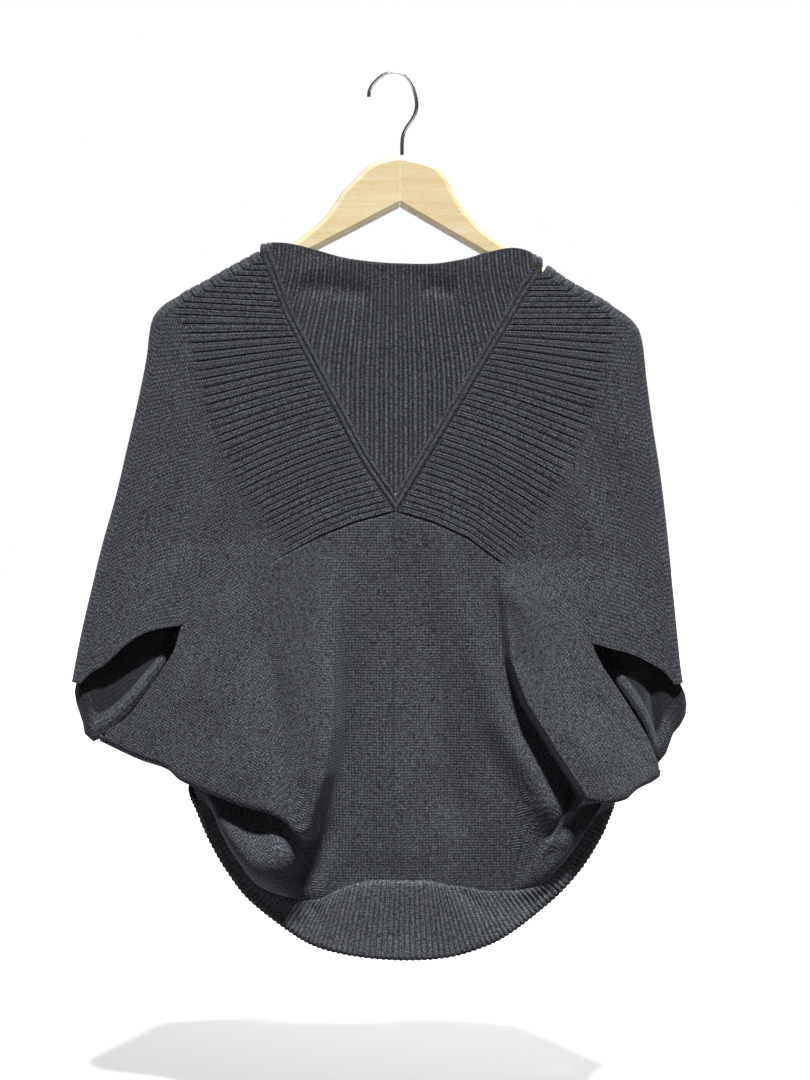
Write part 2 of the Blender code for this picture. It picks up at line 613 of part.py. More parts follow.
# ---------------------------------------------------------------- ribbed rim band
def rim_surface():
    """u: 0 at the near seam, 1 at the free far edge, with most of the steps in the fold;
    v: share of the rim line."""
    path = smooth_path(RIM_BAND)
    normal = side_normal(path, -1)
    table = np.hstack([path, normal])

    def surface(u, v):
        row = along(table, v)
        x, z, radius, near, far, seam_depth = [row[..., k] for k in range(6)]
        bend = math.pi / 2 * radius
        marks = [near]
        for k, turn in enumerate((1, 0.33, -0.33, -1)):
            marks.append(np.minimum(turn * bend, near - (near + far) * 0.04 * (k + 1)))
        marks.append(-far)
        step = np.clip(u * 5, -1, 5.999)
        w = marks[0] + (marks[1] - marks[0]) * step
        for k in range(1, 5):
            w = np.where(step > k, marks[k] + (marks[k + 1] - marks[k]) * (step - k), w)
        turn = np.clip(w / radius, -math.pi / 2, math.pi / 2)
        beyond = np.maximum(np.abs(w) - bend, 0)
        inset = radius * (1 - np.cos(turn)) + beyond
        y = -radius * np.sin(turn)
        ease = smooth_step(beyond / np.maximum(near - bend, 1.0))
        y = np.where(w > 0, y - (seam_depth - radius) * ease * (near > bend), y)
        y = np.where(w < 0, y + 0.03 * beyond, y)
        return np.stack([x - inset * row[..., 6], y, z - inset * row[..., 7]], -1)

    return surface


def rim_length():
    """Length of the rim's fold line in mm."""
    path = smooth_path(RIM_BAND)[:, :2]
    return float(np.linalg.norm(np.diff(path, axis=0), axis=1).sum())


def make_rim_part(name, first, last, material):
    whole = rim_surface()
    gap = 0.15 / rim_length()

    def surface(u, v):
        return whole(u, first + gap + (last - first - 2 * gap) * v)

    count = round((last - first) * rim_length() / BAND_RIB_PITCH)
    shares, heights = rib_lines(count)
    cross = np.array([0, 0.1, 0.2, 0.4, 0.6, 0.8, 1.0])
    plain = np.linspace(0, 1, count // 2)
    return ribbed_wall(name, surface, 1, shares, heights, cross, BAND_RIB_HEIGHT, plain,
                       material)


def make_front_band(side, material):
    """The ribbed band down one open front, from the shoulder to the rim band."""
    table = SIDES[side]
    free = smooth_path(table["front_free"])
    outer = smooth_path(table["front_outer"])

    def surface(u, v):
        a = along(free, v)
        b = along(outer, v)
        xz = a + (b - a) * u[..., None]
        y = EDGE_RADIUS + 1.0 + 2.0 * np.sin(math.pi * np.clip(v, 0, 1)) * (1 - 0.6 * u)
        return np.stack([xz[..., 0], y, xz[..., 1]], -1)

    length = np.linalg.norm(np.diff(free, axis=0), axis=1).sum()
    count = round(length / FRONT_RIB_PITCH)
    shares, heights = rib_lines(count)
    cross = np.array([0, 1.0])
    return ribbed_wall("front_band_" + side, surface, table["sign"], shares, heights, cross,
                       BAND_RIB_HEIGHT, np.linspace(0, 1, 26), material)


# ---------------------------------------------------------------- lower back panel
def panel_columns():
    """Stations of all columns, from the table of runs."""
    runs = [np.linspace(first, last, steps + 1)[:-1] for first, last, steps in PANEL_RUNS]
    return np.append(np.concatenate(runs), LAST_STATION)


def panel_top(station):
    """The panel's upper edge: left cuff, seam up to the V point and down, right cuff."""
    left_cuff = smooth_path(PANEL_LEFT_CUFF)
    right_cuff = smooth_path(PANEL_RIGHT_CUFF)
    left_seam = seam_corners("left")[::-1] + np.array([0.0, -SEAM_DROP])
    right_seam = seam_corners("right") + np.array([0.0, -SEAM_DROP])
    left_seam[-1, 0] = V_POINT[0]
    right_seam[0, 0] = V_POINT[0]
    if station <= 3:
        if station == 3:
            return left_seam[0] + np.array([0.2, -2.0])
        return along(left_cuff, np.array(station / 3))
    if station <= 9:
        return np.array([np.interp(station, LEFT_SEAM_STATIONS, left_seam[:, k])
                         for k in range(2)])
    if station < 14:
        return np.array([np.interp(station, RIGHT_SEAM_STATIONS, right_seam[:, k])
                         for k in range(2)])
    if station == 14:
        return right_seam[-1] + np.array([-0.2, -2.0])
    return along(right_cuff, np.array((station - 14) / 3))


def front_face(station, row, drop):
    """The front of a column: a bowed line from its upper edge to its low edge."""
    mid, edge, fold = row[1:3], row[3:5], row[5]
    top = panel_top(station)
    t = np.linspace(0, 1, FRONT_ROWS + 1)
    bow = 4 * t * (1 - t)
    line = top + (edge - top) * t[:, None] + bow[:, None] * (mid - (top + edge) / 2)
    line = line + np.array([0.0, drop]) * smooth_step((t - 0.5) / 0.5)[:, None] * fold
    tip = np.clip(min(station, LAST_STATION - station) / 2.5, 0, 1)
    depth = near_depth(line[:, 0], line[:, 1]) * (0.72 + 0.28 * tip)
    return np.stack([line[:, 0], -depth, line[:, 1]], -1)


def outer_fold(station, edge, drop):
    """Half an ellipse under an outer wing, from its edge round to the far side."""
    last = FAR_PART_LAST_LEFT if station < 9 else FAR_PART_FIRST_RIGHT
    end_depth = FAR_LAP_DEPTH * (1 - smooth_step(1 - abs(station - last)))
    angle = np.linspace(0, math.pi, FOLD_ROWS + 1)[1:]
    reach = (end_depth - edge[1]) / 2
    y = edge[1] + reach * (1 - np.cos(angle))
    z = edge[2] - drop * np.sin(angle)
    return np.stack([np.full(FOLD_ROWS, edge[0]), y, z], -1)


def hem_point(station, rim):
    """Where a column ends, a gap above the rim band's near edge."""
    share = np.array(np.interp(station, *np.array(HEM_SHARE).T))
    edge, beyond = rim(np.array(0.0), share), rim(np.array(-0.01), share)
    return edge + (beyond - edge) * HEM_GAP / np.linalg.norm(beyond - edge)


def plain_fall(start, hem):
    """A column with no fold: it falls from the front's edge straight to the hem."""
    t = np.linspace(0, 1, FOLD_ROWS + FLANK_ROWS + 1)[1:]
    x = start[0] + (hem[0] - start[0]) * t
    z = start[2] + (hem[2] - start[2]) * t
    y = -near_depth(x, z, 0.0) * (1 - smooth_step(t)) + hem[1] * smooth_step(t)
    y = y + (start[1] + near_depth(start[0], start[2], 0.0)) * (1 - t) ** 2
    return np.stack([x, y, z], -1)


def deep_fold(station, edge, drop, fold):
    """The shelf under a wing's edge, back to the plane of the flank."""
    side_mix = smooth_step(station - 3) if station < 9 else smooth_step(14 - station)
    z_low = edge[2] - drop * fold
    shelf = -edge[1] - float(near_depth(edge[0], z_low, 0.0)) * side_mix
    steps = np.array(FOLD_STEPS)
    y = edge[1] + np.minimum(steps[:, 0], steps[:, 1] * shelf)
    z = z_low + steps[:, 2] + (1 - side_mix) * steps[:, 3]
    return np.stack([np.full(FOLD_ROWS, edge[0]), y, z], -1), side_mix


def flank_face(start, hem, side_mix):
    """From the fold's back edge the flank bags out and comes down to the hem."""
    t = np.linspace(0, 1, FLANK_ROWS + 1)[1:]
    x = start[0] + (hem[0] - start[0]) * t
    z = start[2] + (hem[2] - start[2]) * t
    ease = smooth_step((t - 0.35) / 0.65)
    bag = FLANK_FULLNESS * np.sin(math.pi * t) ** 0.7 * side_mix
    y = -near_depth(x, z, 0.0) * (1 - ease) + hem[1] * ease - bag
    y = y + (start[1] + near_depth(start[0], start[2], 0.0)) * (1 - t) ** 2
    return np.stack([x, y, z], -1)


def panel_column(station, keys, rim):
    """One column of points from the upper edge down: its front, its fold and, between the
    wings, its flank."""
    row = along_station(keys, station)
    fold = row[5]
    has_flank = FAR_PART_LAST_LEFT <= station <= FAR_PART_FIRST_RIGHT
    drop = INNER_DROP if has_flank else OUTER_DROP
    front = front_face(station, row, drop)
    edge = front[-1]
    if not has_flank:
        return front, outer_fold(station, edge, drop), None
    hem = hem_point(station, rim)
    plain = plain_fall(edge, hem)
    if fold <= 0:
        return front, plain[:FOLD_ROWS], plain[FOLD_ROWS:]
    folded, side_mix = deep_fold(station, edge, drop, fold)
    flank = flank_face(folded[-1], hem, side_mix)
    folded = folded * fold + plain[:FOLD_ROWS] * (1 - fold)
    flank = flank * fold + plain[FOLD_ROWS:] * (1 - fold)
    return front, folded, flank


def along_station(keys, station):
    """Smooth reading of the key table between its rows."""
    k = int(min(station, len(keys) - 2))
    f = station - k
    rows = [keys[max(k - 1, 0)], keys[k], keys[k + 1], keys[min(k + 2, len(keys) - 1)]]
    a, b, c, d = rows
    smooth = 0.5 * (2 * b + (c - a) * f + (2 * a - 5 * b + 4 * c - d) * f ** 2
                    + (3 * b - a - 3 * c + d) * f ** 3)
    smooth[5] = b[5] + (c[5] - b[5]) * f
    return smooth


def make_panel(material):
    """Lower back panel: hangs from the seam, its sides stand out as two wings that fold
    back under themselves, and it comes down to the ribbed rim."""
    keys = [np.array(row, float) for row in PANEL_KEYS]
    rim = rim_surface()
    stations = panel_columns()
    columns = []
    for s in stations:
        front, folded, flank = panel_column(float(s), keys, rim)
        if flank is None:
            flank = np.repeat(folded[-1:], FLANK_ROWS, axis=0)
        columns.append(np.vstack([front, folded, flank]))
    grid = np.array(columns)
    inside = (stations >= FAR_PART_LAST_LEFT) & (stations <= FAR_PART_FIRST_RIGHT)
    keep = np.ones((grid.shape[0] - 1, grid.shape[1] - 1), bool)
    keep[:, FRONT_ROWS + FOLD_ROWS:] = (inside[:-1] & inside[1:])[:, None]

    wall = Sheet()
    index = wall.add(grid)
    given = {}
    share = np.interp(stations, *np.array(HEM_SHARE).T)
    rim_normals = normals(rim, np.zeros(len(stations)), share, 1)
    for k in np.nonzero(inside)[0]:
        given[index[k, -1]] = rim_normals[k]
        given[index[k, 0]] = (0.0, -1.0, 0.0)
    wall.cells(index, keep)
    last_fold = FRONT_ROWS + FOLD_ROWS
    thin = {}
    tight = (stations <= 0.5) | (stations >= 16.5) | ((stations > 11) & (stations < 12.3))
    for k in np.nonzero(tight)[0]:
        for row in index[k, FRONT_ROWS - 2:last_fold + 3]:
            thin[row] = THIN
    for station in (FAR_PART_LAST_LEFT, FAR_PART_FIRST_RIGHT):
        k = int(np.nonzero(stations == station)[0][0])
        for row in index[k - 1:k + 2, last_fold - 2:last_fold + 1].ravel():
            thin[row] = THIN
    for part, lows, tops in (
            (stations <= FAR_PART_LAST_LEFT, FAR_LOW_LEFT, FAR_TOP_LEFT),
            (stations >= FAR_PART_FIRST_RIGHT, FAR_LOW_RIGHT, FAR_TOP_RIGHT)):
        share = np.linspace(0, 1, part.sum())
        low = along(smooth_path(lows), share)
        top = along(smooth_path(tops), share)
        t = np.linspace(0, 1, FAR_ROWS)[:, None]
        rows = low[:, None] + (top - low)[:, None] * t[None]
        lap = FAR_LOW_DEPTH + (FAR_LAP_DEPTH - FAR_LOW_DEPTH) * t[None, :, 0]
        lap = np.broadcast_to(lap, rows.shape[:2])
        far = wall.add(np.stack([rows[..., 0], lap, rows[..., 1]], -1))
        joined = np.hstack([index[part, last_fold][:, None], far])
        wall.cells(joined)
    return wall.thicken("lower_back", material, given, thin)


class Sheet(Wall):
    """An outer skin of any outline that is given its thickness behind it."""

    def thicken(self, name, material, given, thin):
        """Adds an inner skin one wall behind, along each point's normal.  given holds
        normals that are set, and thin the share of the wall kept at some points."""
        bm = bmesh.new()
        verts = [bm.verts.new(p) for p in self.points]
        for face in self.faces:
            bm.faces.new([verts[k] for k in face])
        loose = [v for v in bm.verts if not v.link_faces]
        bmesh.ops.delete(bm, geom=loose, context="VERTS")
        bmesh.ops.recalc_face_normals(bm, faces=bm.faces)
        first = min(bm.faces, key=lambda f: f.calc_center_median().y)
        if first.normal.y > 0:
            bmesh.ops.reverse_faces(bm, faces=bm.faces)
        bm.normal_update()
        bm.verts.index_update()
        thin = {verts[k].index: share for k, share in thin.items() if verts[k].is_valid}
        for k, normal in given.items():
            verts[k].normal = normal
        outer = [tuple(v.co) for v in bm.verts]
        inner = [tuple(v.co - v.normal * WALL * thin.get(v.index, 1.0)) for v in bm.verts]
        faces = [[v.index for v in f.verts] for f in bm.faces]
        rims = [(e.link_loops[0].vert.index, e.link_loops[0].link_loop_next.vert.index)
                for e in bm.edges if e.is_boundary]
        bm.free()
        count = len(outer)
        self.points = outer + inner
        self.faces = [tuple(f) for f in faces]
        self.faces += [tuple(k + count for k in reversed(f)) for f in faces]
        self.faces += [(b, a, a + count, b + count) for a, b in rims]
        return self.build(name, material)


# ---------------------------------------------------------------- hanger
def make_arm(side, material):
    """One arm of the hanger: an outline sawn from a board, with rounded edges, mitred in
    the middle against the other arm."""
    table = SIDES[side]
    sign = table["sign"]
    head = smooth_path(WOOD_TOP_LEFT if side == "left" else WOOD_TOP_RIGHT, 3)
    shoulder = smooth_path(table["outline"], 3)
    seat = shifted(shoulder, -sign, WALL + WOOD_SEAT)
    end_x = WOOD_END_X[side]
    seat = seat[(np.abs(seat[:, 0]) > abs(head[-1, 0]) + 14) & (np.abs(seat[:, 0]) < abs(end_x))]
    low_slope = WOOD_LOW_SLOPE[side]
    end_low = WOOD_LOW[1] - low_slope * abs(end_x - WOOD_LOW[0])
    end_top = seat[-1, 1]
    bulge = 7.0 * sign
    end = [(end_x + bulge * 0.75, end_top - 6), (end_x + bulge, (end_top + end_low) / 2),
           (end_x + bulge * 0.7, end_low + 4)]
    low = [(end_x, end_low - 0.5), (WOOD_LOW[0] + sign * 0.2, WOOD_LOW[1])]
    outline = np.vstack([head, seat, end, low])

    bm = bmesh.new()
    ring = [bm.verts.new((x * 0.001, -WOOD_HALF * 0.001, z * 0.001)) for x, z in outline]
    face = bm.faces.new(ring)
    grown = bmesh.ops.extrude_face_region(bm, geom=[face])
    moved = [v for v in grown["geom"] if isinstance(v, bmesh.types.BMVert)]
    bmesh.ops.translate(bm, verts=moved, vec=(0, 2 * WOOD_HALF * 0.001, 0))
    bmesh.ops.recalc_face_normals(bm, faces=bm.faces)
    mitre = WOOD_LOW[0] * 0.001
    sides = [e for e in bm.edges if abs(e.verts[0].co.y - e.verts[1].co.y) < 1e-6
             and max(abs(v.co.x - mitre) for v in e.verts) > 0.001]
    bmesh.ops.bevel(bm, geom=sides, offset=WOOD_BEVEL * 0.001, segments=2, profile=0.5,
                    affect="EDGES", clamp_overlap=True)
    bmesh.ops.triangulate(bm, faces=bm.faces)
    bmesh.ops.recalc_face_normals(bm, faces=bm.faces)
    mesh = bpy.data.meshes.new("hanger_arm_" + side)
    bm.to_mesh(mesh)
    bm.free()
    mesh.shade_smooth()
    mesh.set_sharp_from_angle(angle=math.radians(35))
    return place("hanger_arm_" + side, mesh, material)


def make_hook(material):
    """Bent wire from its free end over the top and down to the wood."""
    path = smooth_path(HOOK, 4)
    count = 26
    points = along(path, np.linspace(0, 1, count))
    curve = bpy.data.curves.new("hanger_hook", "CURVE")
    curve.dimensions = "3D"
    curve.bevel_depth = WIRE_RADIUS * 0.001
    curve.bevel_resolution = 2
    curve.use_fill_caps = True
    spline = curve.splines.new("POLY")
    spline.points.add(count - 1)
    for point, (x, z) in zip(spline.points, points):
        point.co = (x * 0.001, 0, z * 0.001, 1)
    curve.materials.append(material)
    hook = bpy.data.objects.new("hanger_hook", curve)
    bpy.context.collection.objects.link(hook)
    return hook


def main():
    for thing in list(bpy.data.objects):
        bpy.data.objects.remove(thing)
    make_collar(finish("collar rib knit", KNIT, 0.95))
    for side in ("left", "right"):
        make_trim(side, finish("trim rib knit " + side, KNIT, 0.95))
        make_sleeve(side, finish("sleeve knit " + side, KNIT, 0.95))
        make_front_band(side, finish("front band rib knit " + side, KNIT, 0.95))
        make_arm(side, finish("beech " + side, WOOD, 0.5))
    make_panel(finish("plain knit", KNIT, 0.95))
    make_rim_part("hem_band_left", 0.0, 0.3, finish("hem rib knit left", KNIT, 0.95))
    make_rim_part("hem_band_back", 0.3, 0.72, finish("hem rib knit back", KNIT, 0.95))
    make_rim_part("hem_band_right", 0.72, 1.0, finish("hem rib knit right", KNIT, 0.95))
    make_hook(finish("chromed steel wire", STEEL, 0.25, 1.0))


main()
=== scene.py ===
# %% [markdown]
# # An open-front knitted cardigan on a wooden hanger
# The real thing is a cocoon cardigan: wide batwing sleeves, a ribbed gusset inside a V,
# ribbed yokes that fade into plain knitting, and one ribbed rim that runs round the whole
# opening.  It hangs with its back to us, so its two layers fold at the silhouette and the
# open front is on the far side.
#
# Knitting is a single thin sheet, so each piece here is one surface worked out from two
# numbers, across and along, with a wall of 2.5 mm behind it.  All sizes are in millimetres
# until the mesh is made, because a knitter measures in millimetres.

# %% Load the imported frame
import math

import bpy
import numpy as np
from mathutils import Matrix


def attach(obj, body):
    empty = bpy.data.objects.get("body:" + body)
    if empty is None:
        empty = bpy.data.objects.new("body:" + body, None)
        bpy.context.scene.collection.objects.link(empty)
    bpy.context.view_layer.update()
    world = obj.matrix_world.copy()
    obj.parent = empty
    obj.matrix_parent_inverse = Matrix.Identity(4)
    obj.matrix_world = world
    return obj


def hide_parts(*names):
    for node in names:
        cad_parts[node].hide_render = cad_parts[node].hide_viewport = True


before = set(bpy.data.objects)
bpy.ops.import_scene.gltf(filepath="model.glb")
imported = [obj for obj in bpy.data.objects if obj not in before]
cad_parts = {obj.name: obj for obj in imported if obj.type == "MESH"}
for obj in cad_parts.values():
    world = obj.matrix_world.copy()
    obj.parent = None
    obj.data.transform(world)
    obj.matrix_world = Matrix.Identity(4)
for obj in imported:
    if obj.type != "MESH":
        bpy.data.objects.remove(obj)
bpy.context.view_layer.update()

# %% [markdown]
# ## Measures of the garment
# These are the solids' outlines, but for the tips of the cuffs, which are rounder here.
# x runs to the viewer's right, z up and y away from the viewer; the origin is the inside
# top of the hook.

# %% Sizes and outlines, in mm
MM = 0.001                  # one millimetre in Blender's metres
WALL = 2.5
EDGE_RADIUS = 9.5           # of the fold at the silhouette
NECK_LEAN = 1.0             # how far outside the neck's corner the sleeve's fold starts
WRAP_SPAN = 0.2             # share of the sleeve's u that goes round its fold
TRIM_WIDTH = 8.7
TRIM_DROP = 7.5             # of the gusset's top under the trims' top
TRIM_ROUNDING = 9.5         # radius of the trim's turn over the shoulder
V_POINT = (1.9, -415.0)
COLLAR_RIB_PITCH = 7.3
BAND_RIB_PITCH = 4.9
FRONT_RIB_PITCH = 6.6
FLAT_RIB_HEIGHT = 1.3
NARROW_RIB_HEIGHT = 0.95
CHAIN_HEIGHT = 1.5
CHAIN_STITCHES = 96         # along one trim
V_SIDE = 285                # length of one trim
SLEEVE_RIB_WIDTH = 7.0      # of one rib on the sleeve's map
SEAM_GAP = 0.75             # from the seam line to the sleeve's lower edge
LIP_FORWARD = 17.0          # how far the far layer's lip comes forward in the cuff
LIP_ROLL = 3.5              # how far its very edge rolls
FOOT_DROP, FOOT_BACK = 11.0, 4.0    # of the front band's foot, over the rim's end
FAR_DEPTH = 12.0            # of the wings' hidden sides, behind the hanger's plane

# the gusset's upper edge, from shoulder to shoulder
RIM = [(-130, -166), (-121, -162), (-104, -161.8), (-89, -164.4), (-72, -169),
       (-47, -176), (-18, -180), (10, -181.5), (39, -181.5), (67, -177), (82, -172.5),
       (96, -169), (110, -166.5), (124, -168.5), (139, -176), (147, -181.5)]

# each side's lines as x, z; rib_reach is how far a rib goes, as v and u on the sleeve
SIDES = {
    "left": {
        "sign": -1,
        "v_line": [(-123.0, -177), (-110.5, -211), (-102.6, -231), (-84.2, -267),
                   (-57.8, -316.4), (-31.4, -365.5), (1.7, -414.8)],
        "outline": [(-126.5, -168.5), (-134, -172.3), (-145, -178.4), (-159, -186),
                    (-180, -198), (-201, -209), (-218, -219), (-228.5, -231),
                    (-232.5, -247), (-235.5, -272), (-244, -314), (-254, -357),
                    (-264, -400), (-276, -443), (-286.5, -485), (-296.5, -528),
                    (-302.5, -558), (-306, -577)],
        "seam": [(1.7, -414.8), (-16, -418), (-36, -424.7), (-51, -430), (-99, -452.5),
                 (-130, -476), (-151, -490), (-176, -507), (-202, -523)],
        "cuff": [(-202, -523), (-224, -527), (-238, -532), (-252, -541), (-264, -552),
                 (-276, -563), (-288, -570), (-299.5, -582)],
        "lip": [(-299.5, -582), (-304.5, -589), (-301, -601), (-294, -615), (-289.5, -629),
                (-280, -631), (-256, -612), (-230, -581), (-210, -549), (-189, -524)],
        "far_edge": [(-120.5, -189), (-130, -197), (-152, -213), (-174, -232),
                     (-181, -262), (-180, -330), (-181, -430), (-189, -524)],
        "rib_reach": [(0.0, 1.2), (0.16, 1.2), (0.2, 1.05), (0.24, 0.9), (0.3, 0.81),
                      (0.4, 0.72), (0.6, 0.58), (0.8, 0.45), (1.0, 0.36)],
        "ribs": 44,
        "front_free": [(-113, -187), (-106, -215), (-98, -260), (-91, -330), (-89, -430),
                       (-94, -530), (-115, -611)],
        "front_outer": [(-120, -190), (-129.4, -197.8), (-151.4, -213.8),
                        (-172.8, -232.6), (-180.2, -262), (-179.2, -330), (-180.2, -430),
                        (-187, -524), (-188, -590), (-188.5, -637)],
    },
    "right": {
        "sign": 1,
        "v_line": [(136.5, -191.8), (126, -208.5), (100, -252), (70, -302), (40, -352),
                   (2.1, -414.8)],
        "outline": [(144.5, -181.5), (154, -188.4), (167, -197.5), (187, -208.5),
                    (205, -219), (221, -229.5), (231.5, -241), (236.5, -258),
                    (240, -290), (246, -335), (253, -380), (259, -430), (264.5, -485),
                    (269, -530), (272, -560), (274.5, -578)],
        "seam": [(2.1, -414.8), (20, -419), (44, -428), (82, -446.5), (98, -460),
                 (127, -486), (150, -507), (172, -526), (187, -539)],
        "cuff": [(187, -539), (206, -545), (228, -551), (243, -558), (257, -565),
                 (267, -573), (273.5, -580)],
        "lip": [(273.5, -580), (279.5, -592), (279.5, -604), (273, -616), (263, -626),
                (257, -641), (250, -652), (238, -621), (217, -588), (200, -566),
                (182, -536)],
        "far_edge": [(137.5, -200), (146, -207), (166, -221), (183, -234), (191, -262),
                     (190, -330), (190, -430), (182, -536)],
        "rib_reach": [(0.0, 1.2), (0.14, 1.2), (0.18, 1.05), (0.22, 0.92), (0.3, 0.84),
                      (0.4, 0.76), (0.6, 0.62), (0.8, 0.5), (1.0, 0.41)],
        "ribs": 42,
        "front_free": [(130, -198), (122.5, -228), (114, -270), (108, -330), (106, -430),
                       (110, -530), (133, -616)],
        "front_outer": [(137, -201), (145.4, -207.8), (165.4, -222), (182, -235),
                        (190.2, -262), (189.2, -330), (189.2, -430), (181, -536),
                        (193, -590), (202.5, -637)],
    },
}
# shares of the seam where its straight runs meet
SEAM_MARKS = [0, 0.16, 0.32, 0.53, 0.75, 0.9, 1.0]

# x, z of the fold line, radius of the fold, width on the near side, width on the far
# side, depth of the near seam
RIM_BAND = [
    (-208.0, -645, 8.0, -23.0, 99.0, 9.0),
    (-201.5, -664, 8.0, -15.5, 97.0, 9.0),
    (-194.5, -684, 8.0, 2.0, 94.0, 9.0),
    (-187.5, -700, 8.0, 19.0, 90.0, 10.0),
    (-175.5, -728, 8.0, 20.0, 82.0, 11.0),
    (-159.5, -756, 8.0, 21.0, 72.0, 12.0),
    (-137.0, -785, 7.5, 24.0, 58.0, 14.0),
    (-100.0, -813, 7.0, 42.0, 40.0, 18.0),
    (-70.0, -827.5, 6.0, 64.0, 26.0, 20.0),
    (-32.0, -836, 5.0, 77.0, 16.0, 22.0),
    (10.0, -839, 5.0, 80.0, 12.0, 22.0),
    (50.0, -836.5, 5.0, 77.0, 12.0, 22.0),
    (82.0, -827.5, 6.0, 68.0, 18.0, 21.0),
    (112.0, -813, 7.0, 52.0, 30.0, 18.0),
    (150.0, -785, 8.0, 27.0, 50.0, 13.0),
    (177.0, -756, 8.0, 24.0, 66.0, 12.0),
    (195.0, -728, 8.0, 23.0, 78.0, 11.0),
    (203.3, -710, 8.0, 20.0, 83.0, 10.0),
    (210.3, -692, 8.0, 0.0, 88.0, 9.0),
    (215.8, -674, 8.0, -14.0, 92.0, 9.0),
    (220.0, -656, 8.0, -19.0, 95.0, 9.0),
    (222.3, -645, 8.0, -25.0, 97.0, 9.0),
]

# the panel's own edges at the two cuffs
PANEL_LEFT_CUFF = [(-271.0, -622), (-249, -607), (-222, -571), (-210, -553),
                   (-202.3, -539)]
PANEL_RIGHT_CUFF = [(187.3, -546), (197, -563), (213, -587), (236, -624), (247.5, -650)]
# station, middle x, z, edge x, z, fold
PANEL_KEYS = [
    (0.0, -272.0, -628, -277.0, -634.0, 1.0),
    (1.0, -246, -627, -241, -650.5, 1.0),
    (2.0, -218, -612, -215, -658.5, 1.0),
    (3.0, -198, -600, -198, -668.5, 1.0),
    (4.0, -163, -588, -163, -682, 1.0),
    (5.0, -132, -588, -138, -690.5, 1.0),
    (6.0, -100, -588, -112, -697.5, 1.0),
    (7.0, -58, -588, -84, -709, 0.25),
    (8.0, -43, -588, -64, -714, 0.0),
    (9.0, 0, -586, 2, -716, 0.0),
    (10.0, 60, -584, 70, -708, 0.0),
    (11.0, 110, -586, 163, -684, 0.0),
    (12.0, 130, -588, 188, -686.0, 1.0),
    (13.0, 160, -594, 201, -686.5, 1.0),
    (14.0, 196, -612, 215, -683.5, 1.0),
    (15.0, 218, -630, 230, -676, 1.0),
    (16.0, 236, -646, 241, -672, 1.0),
    (17.0, 248.5, -656.5, 249.5, -667.5, 1.0),
]
LEFT_SEAM_STATIONS = [3, 4, 5, 6, 7, 8, 9]
RIGHT_SEAM_STATIONS = [9, 9.75, 10.5, 11.5, 12.5, 13.25, 14]
# station, share of the rim's length
HEM_SHARE = [(3.0, 0.085), (4.0, 0.13), (5.0, 0.205), (6.0, 0.275), (7.0, 0.32),
             (8.0, 0.38), (9.0, 0.5), (10.0, 0.59), (11.0, 0.7), (12.0, 0.75),
             (13.0, 0.83), (14.0, 0.925)]
# low and top edges of the wings' hidden sides
FAR_LOW_LEFT = [(-270, -626), (-240, -632), (-214, -643), (-192, -652)]
FAR_TOP_LEFT = [(-268, -618), (-244, -586), (-219, -553), (-190.8, -514)]
FAR_LOW_RIGHT = [(207.5, -655), (222, -652), (236, -648), (247.5, -650)]
FAR_TOP_RIGHT = [(182.5, -524), (206, -556), (229, -592), (245, -640)]

# z, depth in front of the hanger's plane
PANEL_DEPTH = [(-839, 22), (-760, 24), (-650, 23), (-560, 19), (-480, 15), (-415, 12.5),
               (-300, 10.5), (-230, 9.5), (-150, 9.5)]
# z, x of the roll's ridge, x of its foot, height
ROLL = [(-790, -130, -100, 2), (-768, -118, -90, 12), (-745, -103, -74, 22),
        (-711, -82, -63, 30), (-660, -64, -50, 32), (-617, -56, -45, 28),
        (-560, -57, -41, 19), (-500, -60, -37, 9), (-445, -62, -36, 0)]
# z, x of the right fold's upright edge, height
CLIFF = [(-690, 178, 34), (-675, 171, 34), (-647, 153, 32), (-621, 137, 29),
         (-594, 120, 25), (-557, 107, 18), (-500, 101, 9), (-462, 99, 0)]
CLIFF_HALF = 4.0            # half the width of that edge's slope
# half width, then z, x and height at points down each long fold; a fold that stands out
# more and more as it goes down faces up, and catches the light
LONG_FOLDS = [
    (16, [(-450, 48, 0), (-500, 64, 2), (-538, 78, 5), (-576, 88, 8), (-614, 100, 11),
          (-652, 122, 14), (-690, 144, 15), (-712, 152, 8), (-735, 160, 0)]),
    (15, [(-460, 24, 0), (-540, 34, -5), (-614, 42, -6), (-652, 52, -6), (-690, 58, -5),
          (-760, 84, 0)]),
    (14, [(-450, -104, 0), (-500, -120, -4), (-540, -122, -7), (-576, -113, -8),
          (-614, -107, -9), (-650, -107, -8), (-700, -114, 0)]),
    (13, [(-460, -66, 0), (-560, -66, 2), (-640, -62, 5), (-700, -66, 4),
          (-740, -80, 0)]),
    (8, [(-500, -36, 0), (-576, -38, -4), (-614, -40, -5), (-652, -46, -6),
         (-700, -50, -6), (-730, -58, -5), (-760, -66, 0)]),
    (14, [(-480, -6, 0), (-600, -4, 2.5), (-700, -4, 3), (-770, 0, 0)]),
]
print("the V is", round(RIM[7][1] - V_POINT[1]), "mm deep; the rim has", len(RIM_BAND),
      "marks and the panel", len(PANEL_KEYS))

# %% [markdown]
# ## Curves
# Every outline is a smooth line through a few points.  A Catmull-Rom span leaves each
# point in the direction of its neighbours, so the line passes through all of them.

# %% Curve helpers


